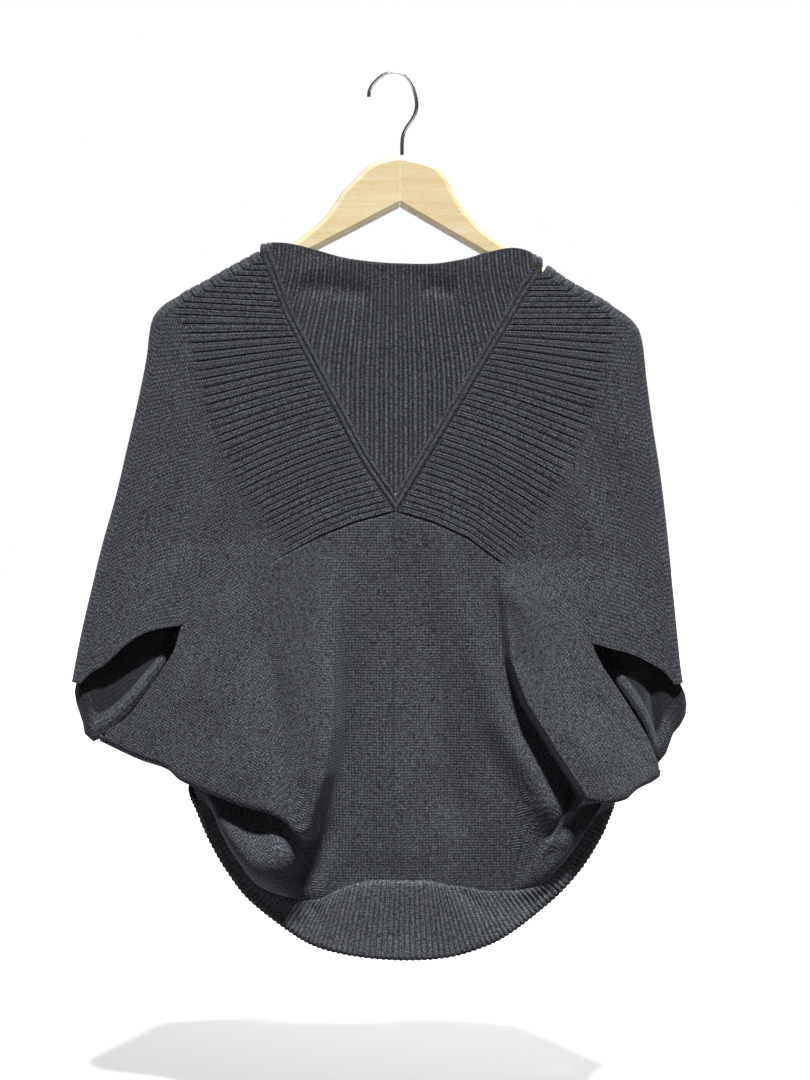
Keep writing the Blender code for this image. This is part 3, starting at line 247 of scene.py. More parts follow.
def smooth_path(points, steps=16):
    """Catmull-Rom line: half of 2b + (c-a)t + (2a-5b+4c-d)t^2 + (3b-a-3c+d)t^3 for each
    span b to c with neighbours a and d."""
    p = np.array(points, float)
    ext = np.vstack([2 * p[0] - p[1], p, 2 * p[-1] - p[-2]])
    t = np.linspace(0, 1, steps, endpoint=False)[None, :, None]
    a, b, c, d = (ext[i:len(ext) - 3 + i, None] for i in range(4))
    spans = 0.5 * (2 * b + (c - a) * t + (2 * a - 5 * b + 4 * c - d) * t ** 2
                   + (3 * b - a - 3 * c + d) * t ** 3)
    return np.vstack([spans.reshape(-1, p.shape[1]), p[-1:]])


def along(path, share):
    """Points at the given shares of a line's length, straight between its points."""
    steps = np.linalg.norm(np.diff(path, axis=0), axis=1)
    length = np.concatenate([[0], np.cumsum(steps)])
    at = np.clip(share, 0, 1) * length[-1]
    return np.stack([np.interp(at, length, path[:, k]) for k in range(path.shape[1])], -1)


def side_normal(path, sign):
    """Unit normals of a line in the XZ plane: its run turned a quarter to the left."""
    run = np.gradient(path[:, :2], axis=0)
    run /= np.linalg.norm(run, axis=1)[:, None]
    return sign * np.stack([-run[:, 1], run[:, 0]], -1)


def smooth_step(x):
    """0 below 0, 1 above 1, and 3x^2 - 2x^3 between."""
    x = np.clip(x, 0, 1)
    return x * x * (3 - 2 * x)


def by_height(table, z, column):
    """Reads one column of a table whose first column is the height."""
    rows = np.array(sorted(table), float)
    return np.interp(z, rows[:, 0], rows[:, column])


print("smooth rim:", len(smooth_path(RIM)), "points")


# %% [markdown]
# ## How the near layer hangs
# The cloth stands a little in front of the hanger.  Two big folds shape it: a soft roll
# down the left, and on the right the loose sleeve side, which stands in front of the back
# panel along a sharp upright edge.  Small creases are added one by one, each from one point
# to another, because real ones are uneven.

# %% Depth of the near layer
# first x, z, last x, z, half width, height: negative is a hollow
CREASES = [
    (-95, -206, -18, -213, 9, -3.0),
    (26, -204, 60, -210, 8, -2.6),
    (-110, -190, 120, -196, 11, 1.4),
    (-10, -432, -18, -520, 9, 1.4),
    (104, -478, 140, -560, 9, 2.4),
    (104, -500, 112, -570, 6, -2.0),
    (-150, -490, -172, -610, 14, 2.6),
    (-150, -500, -205, -600, 13, 1.8),
    (-205, -250, -222, -420, 12, 1.6),
    (-180, -300, -250, -520, 16, -1.8),
    (-150, -330, -215, -500, 16, 1.6),
    (205, -260, 216, -420, 12, 1.6),
    (170, -300, 232, -500, 16, -1.8),
    (150, -360, 205, -520, 15, 1.8),
    (-85, -662, -88, -706, 5, -2.6),
    (-60, -700, -95, -780, 9, -2.0),
    (0, -640, 8, -800, 15, 1.6),
    (60, -770, 90, -812, 7, -3.0),
    (-88, -780, -62, -812, 6, -2.6),
    (40, -660, 60, -770, 14, -1.6),
    (150, -610, 190, -660, 9, 2.0),
    (175, -585, 225, -640, 9, -1.8),
    (-30, -740, 40, -752, 12, 1.2),
]


def creases(x, z):
    """Sum of soft ridges: height times exp of minus the square of the distance from the
    crease's line over its half width, fading out over its two end quarters."""
    total = np.zeros(np.shape(x))
    for x0, z0, x1, z1, half, tall in CREASES:
        dx, dz = x1 - x0, z1 - z0
        length = math.hypot(dx, dz)
        t = ((x - x0) * dx + (z - z0) * dz) / length ** 2
        off = ((x - x0) * dz - (z - z0) * dx) / length
        off = off + 0.06 * length * np.sin(math.pi * np.clip(t, 0, 1))
        ends = smooth_step((t + 0.1) / 0.3) * smooth_step((1.1 - t) / 0.3)
        total = total + tall * ends * np.exp(-(off / half) ** 2)
    return total


def near_depth(x, z, wings=1.0):
    """Distance of the near layer's face in front of the hanger's plane: a plain sag by
    height, plus the roll, plus the raised right side, plus soft waves and creases."""
    side = smooth_step((np.abs(x) - 110) / 140)
    depth = EDGE_RADIUS + (by_height(PANEL_DEPTH, z, 1) - EDGE_RADIUS) * (1 - 0.45 * side)
    ridge, valley, height = (by_height(ROLL, z, k) for k in (1, 2, 3))
    rise = smooth_step((valley - x) / (valley - ridge))
    plate = rise * (1 - 0.62 * smooth_step((ridge - x) / 200)) * wings
    roll = np.exp(-((x - ridge) / 24) ** 2) * rise
    depth = depth + height * np.maximum(plate, roll) + 0.16 * height * roll
    edge = by_height(CLIFF, z, 1)
    lift = smooth_step((x - edge + CLIFF_HALF) / (2 * CLIFF_HALF))
    plate = lift * (1 - 0.6 * smooth_step((x - edge - 20) / 110)) * wings
    depth = depth + by_height(CLIFF, z, 2) * plate
    for half, line in LONG_FOLDS:
        across = (x - by_height(line, z, 1)) / half
        depth = depth + by_height(line, z, 2) * np.exp(-across ** 2)
    return depth + creases(x, z)


print("deepest fold:", round(float(near_depth(-64.0, -660.0)), 1), "mm")

# %% [markdown]
# ## From numbers to a mesh
# A surface is a grid of points.  Its wall is the same grid pushed back along the
# surface's normals, and a strip of faces closes the two all round.  The ribs are raised
# only in the outer skin, as rows of stitches are.

# %% Mesh helpers


def normals(surface, u, v, sign):
    """Unit normals: the cross product of two small steps on the surface."""
    step = 1e-3
    n = np.cross(surface(u + step, v) - surface(u - step, v),
                 surface(u, v + step) - surface(u, v - step))
    return sign * n / np.maximum(np.linalg.norm(n, axis=-1), 1e-9)[..., None]


def quads(index):
    """Four-sided faces between the neighbours of a grid of point numbers."""
    return np.stack([index[:-1, :-1], index[1:, :-1], index[1:, 1:], index[:-1, 1:]],
                    -1).reshape(-1, 4)


def run_length(points):
    """Length along the grid's first direction, in mm from its first row."""
    steps = np.linalg.norm(np.diff(points, axis=0), axis=-1)
    return np.concatenate([np.zeros((1, points.shape[1])), np.cumsum(steps, axis=0)])


def cloth_object(name, points, faces, uv, rib):
    """Mesh object from arrays in mm, with the map 'cloth' in metres along the knitting and
    the value 'rib', a painted shade: 1 on a rib's crest, unshaded, and 0 in its groove,
    where the knit finish paints the colour darkest."""
    mesh = bpy.data.meshes.new(name)
    mesh.from_pydata((points * MM).tolist(), [], faces.tolist())
    layer = mesh.uv_layers.new(name="cloth")
    corners = np.zeros(len(mesh.loops), np.int32)
    mesh.loops.foreach_get("vertex_index", corners)
    layer.data.foreach_set("uv", (uv[corners] * MM).ravel())
    value = mesh.attributes.new("rib", "FLOAT", "POINT")
    value.data.foreach_set("value", rib.astype(np.float32))
    mesh.shade_smooth()
    piece = bpy.data.objects.new(name, mesh)
    bpy.context.scene.collection.objects.link(piece)
    return piece


def outward(points, faces):
    """Faces turned so that the volume, a sixth of the sum of a . (b x c), is positive."""
    a, b, c, d = (points[faces[:, k]] for k in range(4))
    volume = ((a * np.cross(b, c)).sum() + (a * np.cross(c, d)).sum()) / 6
    return faces if volume > 0 else faces[:, ::-1]


def wall_piece(name, surface, u, v, sign, relief, uv, rib, inside=0.4):
    """Closed wall: outer skin at height relief over the surface, inner skin WALL behind.
    inside is the inner skin's value of 'rib', the painted shade of the cloth's inner side."""
    base = surface(u, v)
    n = normals(surface, u, v, sign)
    outer = base + n * relief[..., None]
    inner = base - n * WALL
    index = np.arange(u.size).reshape(u.shape)
    ring = np.concatenate([index[0, :-1], index[:-1, -1], index[-1, :0:-1],
                           index[:0:-1, 0]])
    after = np.roll(ring, -1)
    rim = np.stack([ring, after, after + u.size, ring + u.size], -1)
    faces = np.concatenate([quads(index), quads(index + u.size)[:, ::-1], rim])
    points = np.concatenate([outer.reshape(-1, 3), inner.reshape(-1, 3)])
    both = np.concatenate([uv.reshape(-1, 2)] * 2)
    value = np.concatenate([rib.ravel(), np.broadcast_to(inside, u.shape).ravel()])
    piece = cloth_object(name, points, outward(points, faces), both, value)
    print(name, len(faces) * 2, "triangles")
    return piece


def finish_piece(piece, material, slot, *nodes):
    """Gives the piece its finish, lets it ride on the one body and hides its CAD node."""
    piece.data.materials.append(material)
    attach(piece, "root")
    if nodes:
        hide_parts(*nodes)


def rib_steps(count, phases):
    """Shares of a width with the same sample places inside each of count ribs."""
    shares = (np.arange(count)[:, None] + np.array(phases)[None, :]) / count
    return np.append(shares.ravel(), 1.0)


def flat_groove(phase, half):
    """Rib with a flat top and a narrow groove: 1 - exp(-(distance to groove / half)^2)."""
    d = np.minimum(phase % 1, 1 - phase % 1)
    return 1 - np.exp(-(d / half) ** 2)


def round_rib(phase):
    """Narrow round rib: (0.5 - 0.5 cos(2 pi phase))^0.6."""
    return (0.5 - 0.5 * np.cos(2 * math.pi * phase)) ** 0.6


# places of the samples in one flat rib, close together near its groove
GROOVE_PHASES = [0, 0.05, 0.1, 0.17, 0.3, 0.5, 0.7, 0.83, 0.9, 0.95]
print("samples in a flat rib:", len(GROOVE_PHASES))

# %% [markdown]
# ## The yarn
# Charcoal melange yarn: dark and light fibres spun together, so the cloth is speckled at
# the size of a fibre.  Plain knitting is rows of little Vs; each V leans the same way, so
# from afar they read as a fine lattice.  The pattern is drawn from the piece's own map, in
# millimetres, so that it bends with the cloth.

# %% Colour and node helpers


def linear(code):
    """sRGB hex to linear: c/12.92 below 0.04045, else ((c+0.055)/1.055)^2.4."""
    c = np.array([int(code[k:k + 2], 16) for k in (1, 3, 5)]) / 255
    c = np.where(c < 0.04045, c / 12.92, ((c + 0.055) / 1.055) ** 2.4)
    return (*[float(x) for x in c], 1.0)


def add(tree, kind, inputs=None, **settings):
    """Adds one node: settings are its properties, inputs its values or incoming links."""
    made = tree.nodes.new(kind)
    for key, value in settings.items():
        setattr(made, key, value)
    for key, value in (inputs or {}).items():
        if isinstance(value, bpy.types.NodeSocket):
            tree.links.new(value, made.inputs[key])
        else:
            made.inputs[key].default_value = value
    return made


def new_material(name):
    """Empty node tree with a Principled shader and its output."""
    material = bpy.data.materials.new(name)
    material.use_nodes = True
    tree = material.node_tree
    tree.nodes.clear()
    shader = add(tree, "ShaderNodeBsdfPrincipled")
    add(tree, "ShaderNodeOutputMaterial", {"Surface": shader.outputs[0]})
    return material, tree, shader


# %% The knit finish
# The real stitches and fibres are finer than a render's pixel, so the fibres are drawn
# about 1.6 mm long.  Wool fluff is matt with a weak bluish sheen at grazing angles.


def knit(name, wale, course, lean, dark, light, depth):
    """Knitted melange yarn.  wale and course are the stitch's width and height in mm and
    lean is how far its V reaches, in courses.  Height is
    0.5 + 0.5 sin(2 pi (y/course + lean |2 fract(x/wale) - 1|)), times the round of the
    wale, sin(pi fract(x/wale))."""
    material, tree, shader = new_material(name)
    place = add(tree, "ShaderNodeUVMap", uv_map="cloth")
    axes = add(tree, "ShaderNodeSeparateXYZ", {0: place.outputs[0]})
    across = add(tree, "ShaderNodeMath", {0: axes.outputs[0], 1: 1000 / wale},
                 operation="MULTIPLY")
    share = add(tree, "ShaderNodeMath", {0: across.outputs[0]}, operation="FRACT")
    half = add(tree, "ShaderNodeMath", {0: share.outputs[0], 1: 2.0, 2: -1.0},
               operation="MULTIPLY_ADD")
    arms = add(tree, "ShaderNodeMath", {0: half.outputs[0]}, operation="ABSOLUTE")
    down = add(tree, "ShaderNodeMath", {0: axes.outputs[1], 1: 1000 / course},
               operation="MULTIPLY")
    v_shape = add(tree, "ShaderNodeMath", {0: arms.outputs[0], 1: lean,
                                           2: down.outputs[0]}, operation="MULTIPLY_ADD")
    turn = add(tree, "ShaderNodeMath", {0: v_shape.outputs[0], 1: 2 * math.pi},
               operation="MULTIPLY")
    wave = add(tree, "ShaderNodeMath", {0: turn.outputs[0]}, operation="SINE")
    leg = add(tree, "ShaderNodeMath", {0: wave.outputs[0], 1: 0.5, 2: 0.5},
              operation="MULTIPLY_ADD")
    arch = add(tree, "ShaderNodeMath", {0: share.outputs[0], 1: math.pi},
               operation="MULTIPLY")
    body = add(tree, "ShaderNodeMath", {0: arch.outputs[0]}, operation="SINE")
    stitch = add(tree, "ShaderNodeMath", {0: leg.outputs[0], 1: body.outputs[0]},
                 operation="MULTIPLY")

    where = add(tree, "ShaderNodeTexCoord")
    fibres = add(tree, "ShaderNodeTexNoise", {"Vector": where.outputs["Object"],
                                              "Scale": 620.0, "Detail": 2.0,
                                              "Roughness": 0.6})
    clouds = add(tree, "ShaderNodeTexNoise", {"Vector": where.outputs["Object"],
                                              "Scale": 22.0, "Detail": 3.0})
    speckle = add(tree, "ShaderNodeMapRange", {"Value": fibres.outputs[0], 1: 0.36,
                                               2: 0.66, 3: 0.0, 4: 1.0})
    # painted shade: the value 'rib' darkens the colour down to 0.12 in the ribs' grooves and on
    # the shaded inner skins
    rib = add(tree, "ShaderNodeAttribute", attribute_name="rib")
    shade = add(tree, "ShaderNodeMapRange", {"Value": rib.outputs["Fac"], 1: 0.0, 2: 0.8,
                                             3: 0.12, 4: 1.0})
    # painted shade between the stitches: the colour darkens to 1 - depth where the stitch pattern
    # is low
    stitch_painted_shade = add(tree, "ShaderNodeMapRange", {"Value": stitch.outputs[0], 1: 0.0, 2: 0.7,
                                              3: 1 - depth, 4: 1.0})
    soft = add(tree, "ShaderNodeMapRange", {"Value": clouds.outputs[0], 1: 0.3, 2: 0.7,
                                            3: 0.9, 4: 1.06})
    yarn = add(tree, "ShaderNodeMix", {0: speckle.outputs[0], 6: linear(dark),
                                       7: linear(light)}, data_type="RGBA")
    once = add(tree, "ShaderNodeMath", {0: shade.outputs[0], 1: stitch_painted_shade.outputs[0]},
               operation="MULTIPLY")
    twice = add(tree, "ShaderNodeMath", {0: once.outputs[0], 1: soft.outputs[0]},
                operation="MULTIPLY")
    colour = add(tree, "ShaderNodeVectorMath", {0: yarn.outputs[2],
                                                "Scale": twice.outputs[0]},
                 operation="SCALE")
    relief = add(tree, "ShaderNodeMath", {0: fibres.outputs[0], 1: 0.5,
                                          2: stitch.outputs[0]},
                 operation="MULTIPLY_ADD")
    bump = add(tree, "ShaderNodeBump", {"Strength": 0.75, "Distance": 0.0006,
                                        "Height": relief.outputs[0]})
    tree.links.new(colour.outputs[0], shader.inputs["Base Color"])
    tree.links.new(bump.outputs[0], shader.inputs["Normal"])
    shader.inputs["Roughness"].default_value = 0.92
    shader.inputs["Specular IOR Level"].default_value = 0.25
    shader.inputs["Sheen Weight"].default_value = 0.25
    shader.inputs["Sheen Roughness"].default_value = 0.5
    shader.inputs["Sheen Tint"].default_value = linear("#8E94A2")
    return material


# name, wale, course, lean, dark and light yarn, depth of the painted shade between the stitches
rib_knit = knit("charcoal melange rib knit", 1.8, 2.2, 0.5, "#26282D", "#6E7178", 0.55)
# painted light: the narrow rib's yarn is lighter than the plain knit's, against the shade the hem
# and rim strips hang in under the folds
hem_knit = knit("charcoal melange narrow rib", 2.2, 2.2, 0.5, "#33363C", "#8A8D94", 0.40)
gusset_knit = knit("charcoal melange reverse rib", 3.65, 2.0, 0.7, "#2A2C31", "#83868D",
                   0.50)
plain_knit = knit("charcoal melange plain knit", 2.9, 2.6, 0.55, "#26282E", "#6D7078",
                  0.60)
print("knit finishes:", [m.name for m in (rib_knit, hem_knit, gusset_knit, plain_knit)])

# %% [markdown]
# ## The gusset
# The triangle inside the V is the back of a wide rib, so it shows thin raised lines with
# fainter ones half-way between.  Its ribs are upright in the middle and lean towards the V
# at both sides, because the knitter narrowed it there.

# %% Lines along the V


def crossing_first(line, clear):
    """The part of a line from where clear turns positive, with a point at the turn."""
    k = int(np.nonzero(clear > 0)[0][0])
    if k == 0:
        return line
    mix = clear[k] / (clear[k] - clear[k - 1])
    return np.vstack([line[k] + (line[k - 1] - line[k]) * mix, line[k:]])


def v_offset(side, distance):
    """The line at a distance inside a line of the V, from under the rim to the middle."""
    table = SIDES[side]
    sign = table["sign"]
    first = np.array(table["v_line"][0], float)
    path = smooth_path([first + (sign * 4.5, 26), first + (sign * 3.4, 13)]
                       + table["v_line"])
    line = path[:, :2] + distance * side_normal(path, -sign)
    rim = smooth_path(RIM)
    under = np.interp(line[:, 0], rim[:, 0], rim[:, 1]) - TRIM_DROP - line[:, 1]
    line = crossing_first(line, under)
    return crossing_first(line[::-1], sign * (line[::-1, 0] - V_POINT[0]) - 0.02)[::-1]


print("left line of the V:", len(v_offset("left", TRIM_WIDTH)), "points")

# %% The gusset


def make_gusset():
    """Columns straight down from the rim to the trims.  The ribs are drawn on them: a rib
    that starts at x0 on the rim fans out to x0 / (1 - 0.2 s) where s, a smooth step, goes
    from 0 at the rim to 1 at 120 mm under it."""
    left = v_offset("left", TRIM_WIDTH)
    right = v_offset("right", TRIM_WIDTH)
    low = np.vstack([left, right[::-1]])
    rim = smooth_path(RIM)
    x_first = left[0, 0] + 0.3
    x_last = right[0, 0] - 0.3

    def surface(u, v):
        """v across from left to right, u down from the rim."""
        x = x_first + (x_last - x_first) * v
        top = np.interp(x, rim[:, 0], rim[:, 1])
        bottom = np.minimum(np.interp(x, low[:, 0], low[:, 1]), top - 4)
        z = top + (bottom - top) * u
        return np.stack([x, -near_depth(x, z), z], -1)

    u, v = np.meshgrid(np.linspace(0, 1, 78), np.linspace(0, 1, 440), indexing="ij")
    points = surface(u, v)
    x = points[..., 0]
    drop = np.interp(x, rim[:, 0], rim[:, 1]) - points[..., 2]
    start = x * (1 - 0.2 * smooth_step(drop / 120))
    phase = (start + 400) / COLLAR_RIB_PITCH
    d = np.minimum(phase % 1, 1 - phase % 1)
    ridge = np.exp(-(d / 0.13) ** 2)
    between = np.exp(-((0.5 - d) / 0.10) ** 2)
    relief = 1.0 * ridge + 0.45 * between
    uv = np.stack([start, points[..., 2]], -1)
    # 'rib' here is painted shade: the grooves between the raised lines are darkened to 0.16
    piece = wall_piece("collar_gusset_cloth", surface, u, v, 1, relief, uv,
                       0.16 + 0.84 * np.maximum(ridge, 0.62 * between))
    finish_piece(piece, gusset_knit, "rib_knit", "collar_gusset")
    return piece


gusset = make_gusset()

# %% [markdown]
# ## The trims
# Two raised lines of stitches run side by side along each arm of the V and over the
# shoulder.  Each is a chain: it swells and narrows with every stitch.

# %% Trims along the V


def make_trim(side):
    """Across: two rounds, |sin(2 pi u)|^0.6; along: each swells 12% with every stitch."""
    sign = SIDES[side]["sign"]
    lines = np.array([along(v_offset(side, d)[::-1], np.linspace(0, 1, 240))
                      for d in np.linspace(-0.3, TRIM_WIDTH + 0.3, 7)])

    def surface(u, v):
        """u across the trim; v up from the V point, then half a turn over the fold."""
        climb = np.clip(v / 0.9, 0, 1) * 239
        i = np.minimum(climb.astype(int), 238)
        k = np.clip(u, 0, 1) * 6
        j = np.minimum(k.astype(int), 5)
        p = (climb - i)[..., None]
        q = (k - j)[..., None]
        low = lines[j, i] * (1 - p) + lines[j, i + 1] * p
        high = lines[j + 1, i] * (1 - p) + lines[j + 1, i + 1] * p
        xz = low * (1 - q) + high * q
        flare = 1.4 * smooth_step((v - 0.8) / 0.1) * (1 - u)
        xz = xz + np.stack([sign * flare, -1.4 * np.exp(-v * 300)], -1)
        turn = np.clip((v - 0.9) / 0.1, 0, 1.02) * math.pi
        y = -near_depth(xz[..., 0], xz[..., 1]) + TRIM_ROUNDING * (1 - np.cos(turn))
        return np.stack([xz[..., 0], y, xz[..., 1] + TRIM_DROP * np.sin(turn)], -1)

    u, v = np.meshgrid(np.linspace(0, 1, 21), np.linspace(0, 1, 360), indexing="ij")
    chain = 0.5 + 0.5 * np.sin(2 * math.pi * v * CHAIN_STITCHES + 3.0 * np.abs((2 * u) % 1 - 0.5))
    rounds = np.abs(np.sin(2 * math.pi * u)) ** 0.6
    relief = CHAIN_HEIGHT * rounds * (0.86 + 0.14 * chain)
    uv = np.stack([u * TRIM_WIDTH, v * V_SIDE], -1)
    # 'rib' here is painted shade: darker between and beside the two rounds, and a little between
    # the stitches
    piece = wall_piece("v_trim_%s_cloth" % side, surface, u, v, -sign, relief, uv,
                       0.2 + 0.8 * rounds ** 0.5 * (0.8 + 0.2 * chain))
    finish_piece(piece, rib_knit, "rib_knit", "v_trim_" + side)
    return piece


trims = [make_trim(side) for side in ("left", "right")]

# %% [markdown]
# ## Yokes and sleeves
# Each yoke and its sleeve are one piece of knitting.  Wide flat ribs, with a narrow groove
# between them that is dark in its own shade and in painted shade, start square to the V,
# droop outwards and melt into plain knitting.  The piece goes round the shoulder and the
# sleeve's outer fold, comes back on the far side to the front band, and ends free at the
# cuff.

# %% The sleeve's surface


def seam_corners(side):
    """The yoke's lower seam as straight runs between its corners."""
    return along(smooth_path(SIDES[side]["seam"]), np.array(SEAM_MARKS))


def sleeve_surface(side):
    """u: 0 at the V, 1 at the fold, 1.2 past it, 2 at the front band; v: 0 at the neck,
    1 at the seam and cuff.  Each side is ruled between two outlines, and the lower outline
    is blended in by v^3."""
    table = SIDES[side]
    sign = table["sign"]
    v_line = smooth_path(table["v_line"])
    outline = smooth_path(table["outline"])
    inset = outline[:, :2] + EDGE_RADIUS * side_normal(outline, -sign)
    inset = inset[np.abs(outline[:, 0]) > abs(outline[0, 0]) + NECK_LEAN]
    outline = outline[np.abs(outline[:, 0]) > abs(outline[0, 0]) + NECK_LEAN]
    low_near = np.vstack([seam_corners(side) - np.array([0, SEAM_GAP]),
                          smooth_path(table["cuff"])[1:]])
    v_line[-1] -= (0, SEAM_GAP)
    low_near[0] = v_line[-1]
    low_far = smooth_path(table["lip"])
    far_edge = smooth_path(table["far_edge"])
    corner = inset[-1, :2]

    def patch(first, last, first_end, last_end, low, q, v):
        """Ruled between two lines, and bent at its foot to the lower outline."""
        ruled = first + (last - first) * q[..., None]
        ruled_low = first_end + (last_end - first_end) * q[..., None]
        return ruled + (np.clip(v, 0, 1) ** 3)[..., None] * (low - ruled_low)

    def surface(u, v):
        q = np.clip(u, 0, 1)
        edge = along(inset, v)
        near = patch(along(v_line, v), edge, v_line[-1], corner,
                     along(low_near, q) + (corner - low_near[-1]) * (q ** 8)[..., None],
                     q, v)
        ease = smooth_step((q - 0.7) / 0.3)
        near_y = -(near_depth(near[..., 0], near[..., 1]) * (1 - ease)
                   + EDGE_RADIUS * ease)
        turn = math.pi / 2 - math.pi * np.clip((u - 1) / WRAP_SPAN, 0, 1)
        fold = edge + np.cos(turn)[..., None] * (along(outline, v) - edge)
        fold_y = -EDGE_RADIUS * np.sin(turn)
        w = np.clip((u - 1 - WRAP_SPAN) / (1 - WRAP_SPAN), 0, 1)
        far = patch(edge, along(far_edge, v), corner, far_edge[-1],
                    along(low_far, w) + (corner - low_far[0]) * (1 - w[..., None]) ** 8,
                    w, v)
        lip = smooth_step((v - 0.86) / 0.14) * smooth_step(w / 0.3)
        lip = lip * smooth_step((0.86 - w) / 0.2)
        hem_roll = np.sin(math.pi * np.clip((v - 0.96) / 0.04, 0, 1)) * smooth_step(w / 0.1)
        far_y = EDGE_RADIUS + 1.5 * np.sin(math.pi * w) * (1 - v) - LIP_FORWARD * lip
        far_y = far_y - LIP_ROLL * hem_roll
        part = np.where(u <= 1, 0, np.where(u <= 1 + WRAP_SPAN, 1, 2))
        xz = np.where((part == 0)[..., None], near,
                      np.where((part == 1)[..., None], fold, far))
        y = np.where(part == 0, near_y, np.where(part == 1, fold_y, far_y))
        return np.stack([xz[..., 0], y, xz[..., 1]], -1)

    return surface


# %% Both sleeves


def make_sleeve(side):
    """Flat ribs across the grid's v, faded out past rib_reach, then plain.  Their grooves are
    painted in shade.  The far side's inner skin is painted in deep shade but for the rolled
    lip at its low edge, which is painted lit."""
    table = SIDES[side]
    surface = sleeve_surface(side)
    past = 1 + WRAP_SPAN
    across = np.concatenate([np.linspace(0, 1, 64)[:-1], np.linspace(1, past, 13)[:-1],
                             np.linspace(past, 2, 22)])
    u, v = np.meshgrid(across, rib_steps(table["ribs"], GROOVE_PHASES), indexing="ij")
    reach = np.interp(v, *np.array(table["rib_reach"]).T)
    fade = smooth_step((reach - u) / 0.10)
    ribs = flat_groove(v * table["ribs"], 0.085)
    length = run_length(surface(u, v))
    start = smooth_step(length / 1.6)
    relief = FLAT_RIB_HEIGHT * fade * ribs * start + 0.35 * fade * (1 - ribs)
    uv = np.stack([v * table["ribs"] * SLEEVE_RIB_WIDTH, length], -1)
    # 'rib' on the outer skin is painted shade, darkest in the ribs' grooves, faded out with the
    # ribs
    value = 1 - fade * (1 - ribs * start)
    # the inner skin's 'rib': deep painted shade, 0.05, on the far side, painted light, 0.9, on
    # its rolled lip, and painted shade, 0.45, on the near side
    lip = smooth_step((v - 0.96) / 0.01) * smooth_step((u - 1.36) / 0.08)
    piece = wall_piece("yoke_sleeve_%s_cloth" % side, surface, u, v, -table["sign"],
                       relief, uv, value, np.where(u > past, 0.05 + 0.85 * lip, 0.45))
    finish_piece(piece, plain_knit, "sleeve_knit", "yoke_sleeve_" + side)
    return piece


sleeves = [make_sleeve(side) for side in ("left", "right")]

# %% [markdown]
# ## The ribbed rim
# One band of narrow ribs goes round the whole opening.  At the bottom it folds towards us
# and shows as the hem; up the sides it shows as a narrow strip, and the rest of its width
# lies on the far side, where it meets the two front bands.

# %% The rim's surface


def rim_surface():
    """u: 0 at the near seam, 1 at the far free edge; v along the rim.  The band's width w
    is bent round the fold line: turn = w / radius up to a quarter each way, then flat."""
    path = smooth_path(RIM_BAND)
    table = np.hstack([path, side_normal(path, -1)])

    def surface(u, v):
        row = along(table, v)
        x, z, radius, near, far, seam_depth = [row[..., k] for k in range(6)]
        bend = math.pi / 2 * radius
        marks = [near]
        for k, turn in enumerate((1, 0.33, -0.33, -1)):
            marks.append(np.minimum(turn * bend, near - (near + far) * 0.04 * (k + 1)))
        marks.append(-far)
        step = np.clip(u * 5, -1, 5.999)
        w = marks[0] + (marks[1] - marks[0]) * step
        for k in range(1, 5):
            w = np.where(step > k, marks[k] + (marks[k + 1] - marks[k]) * (step - k), w)
        turn = np.clip(w / radius, -math.pi / 2, math.pi / 2)
        beyond = np.maximum(np.abs(w) - bend, 0)
        inset = radius * (1 - np.cos(turn)) + beyond
        y = -radius * np.sin(turn)
        ease = smooth_step(beyond / np.maximum(near - bend, 1.0))
        y = np.where(w > 0, y - (seam_depth - radius) * ease * (near > bend), y)
        y = np.where(w < 0, y + 0.03 * beyond, y)
        forward = 12.0 * smooth_step((near - 26) / 40)
        y = y - forward * np.where(w > 0, 1 - ease, smooth_step((w + far) / far))
        near_x = x - inset * row[..., 6]
        near_z = z - inset * row[..., 7]
        y = np.where(w > 0, y - creases(near_x, near_z) * ease, y)
        return np.stack([near_x, y, near_z], -1)

    return surface


whole_rim = rim_surface()
rim_path = smooth_path(RIM_BAND)[:, :2]
RIM_LENGTH = float(np.linalg.norm(np.diff(rim_path, axis=0), axis=1).sum())
print("the rim's fold line is", round(RIM_LENGTH), "mm long")

# %% The rim in three stretches


def make_rim(name, node, first, last):
    """Narrow round ribs across the band, which rise over its first 5 mm."""
    count = round((last - first) * RIM_LENGTH / BAND_RIB_PITCH)
    across = np.concatenate([np.linspace(0, 0.2, 16)[:-1], np.linspace(0.2, 0.8, 19)[:-1],
                             np.linspace(0.8, 1.0, 10)])
    u, v = np.meshgrid(across, rib_steps(count, np.linspace(0, 1, 9, endpoint=False)),
                       indexing="ij")
    ribs = round_rib(v * count)

    def surface(u, v):
        """The stretch of the whole rim between its shares first and last."""
        return whole_rim(u, first + (last - first) * v)

    length = run_length(surface(u, v))
    uv = np.stack([v * count * BAND_RIB_PITCH, length], -1)
    height = NARROW_RIB_HEIGHT * ribs * smooth_step(length / 5)
    # 'rib' here is painted shade, darkest in the grooves between the narrow ribs
    piece = wall_piece(name, surface, u, v, 1, height, uv, 0.25 + 0.75 * ribs)
    finish_piece(piece, hem_knit, "rib_knit", node)
    return piece


rims = [make_rim("hem_left_cloth", "hem_band_left", 0.0, 0.3),
        make_rim("hem_back_cloth", "hem_band_back", 0.3, 0.72),
        make_rim("hem_right_cloth", "hem_band_right", 0.72, 1.0)]

# %% [markdown]
# ## The front bands
# Each open front ends in a ribbed band that hangs from the shoulder down to the rim.  They
# are on the far side, so they are kept plain: one ruled sheet each, with ribs across it.

# %% The front bands


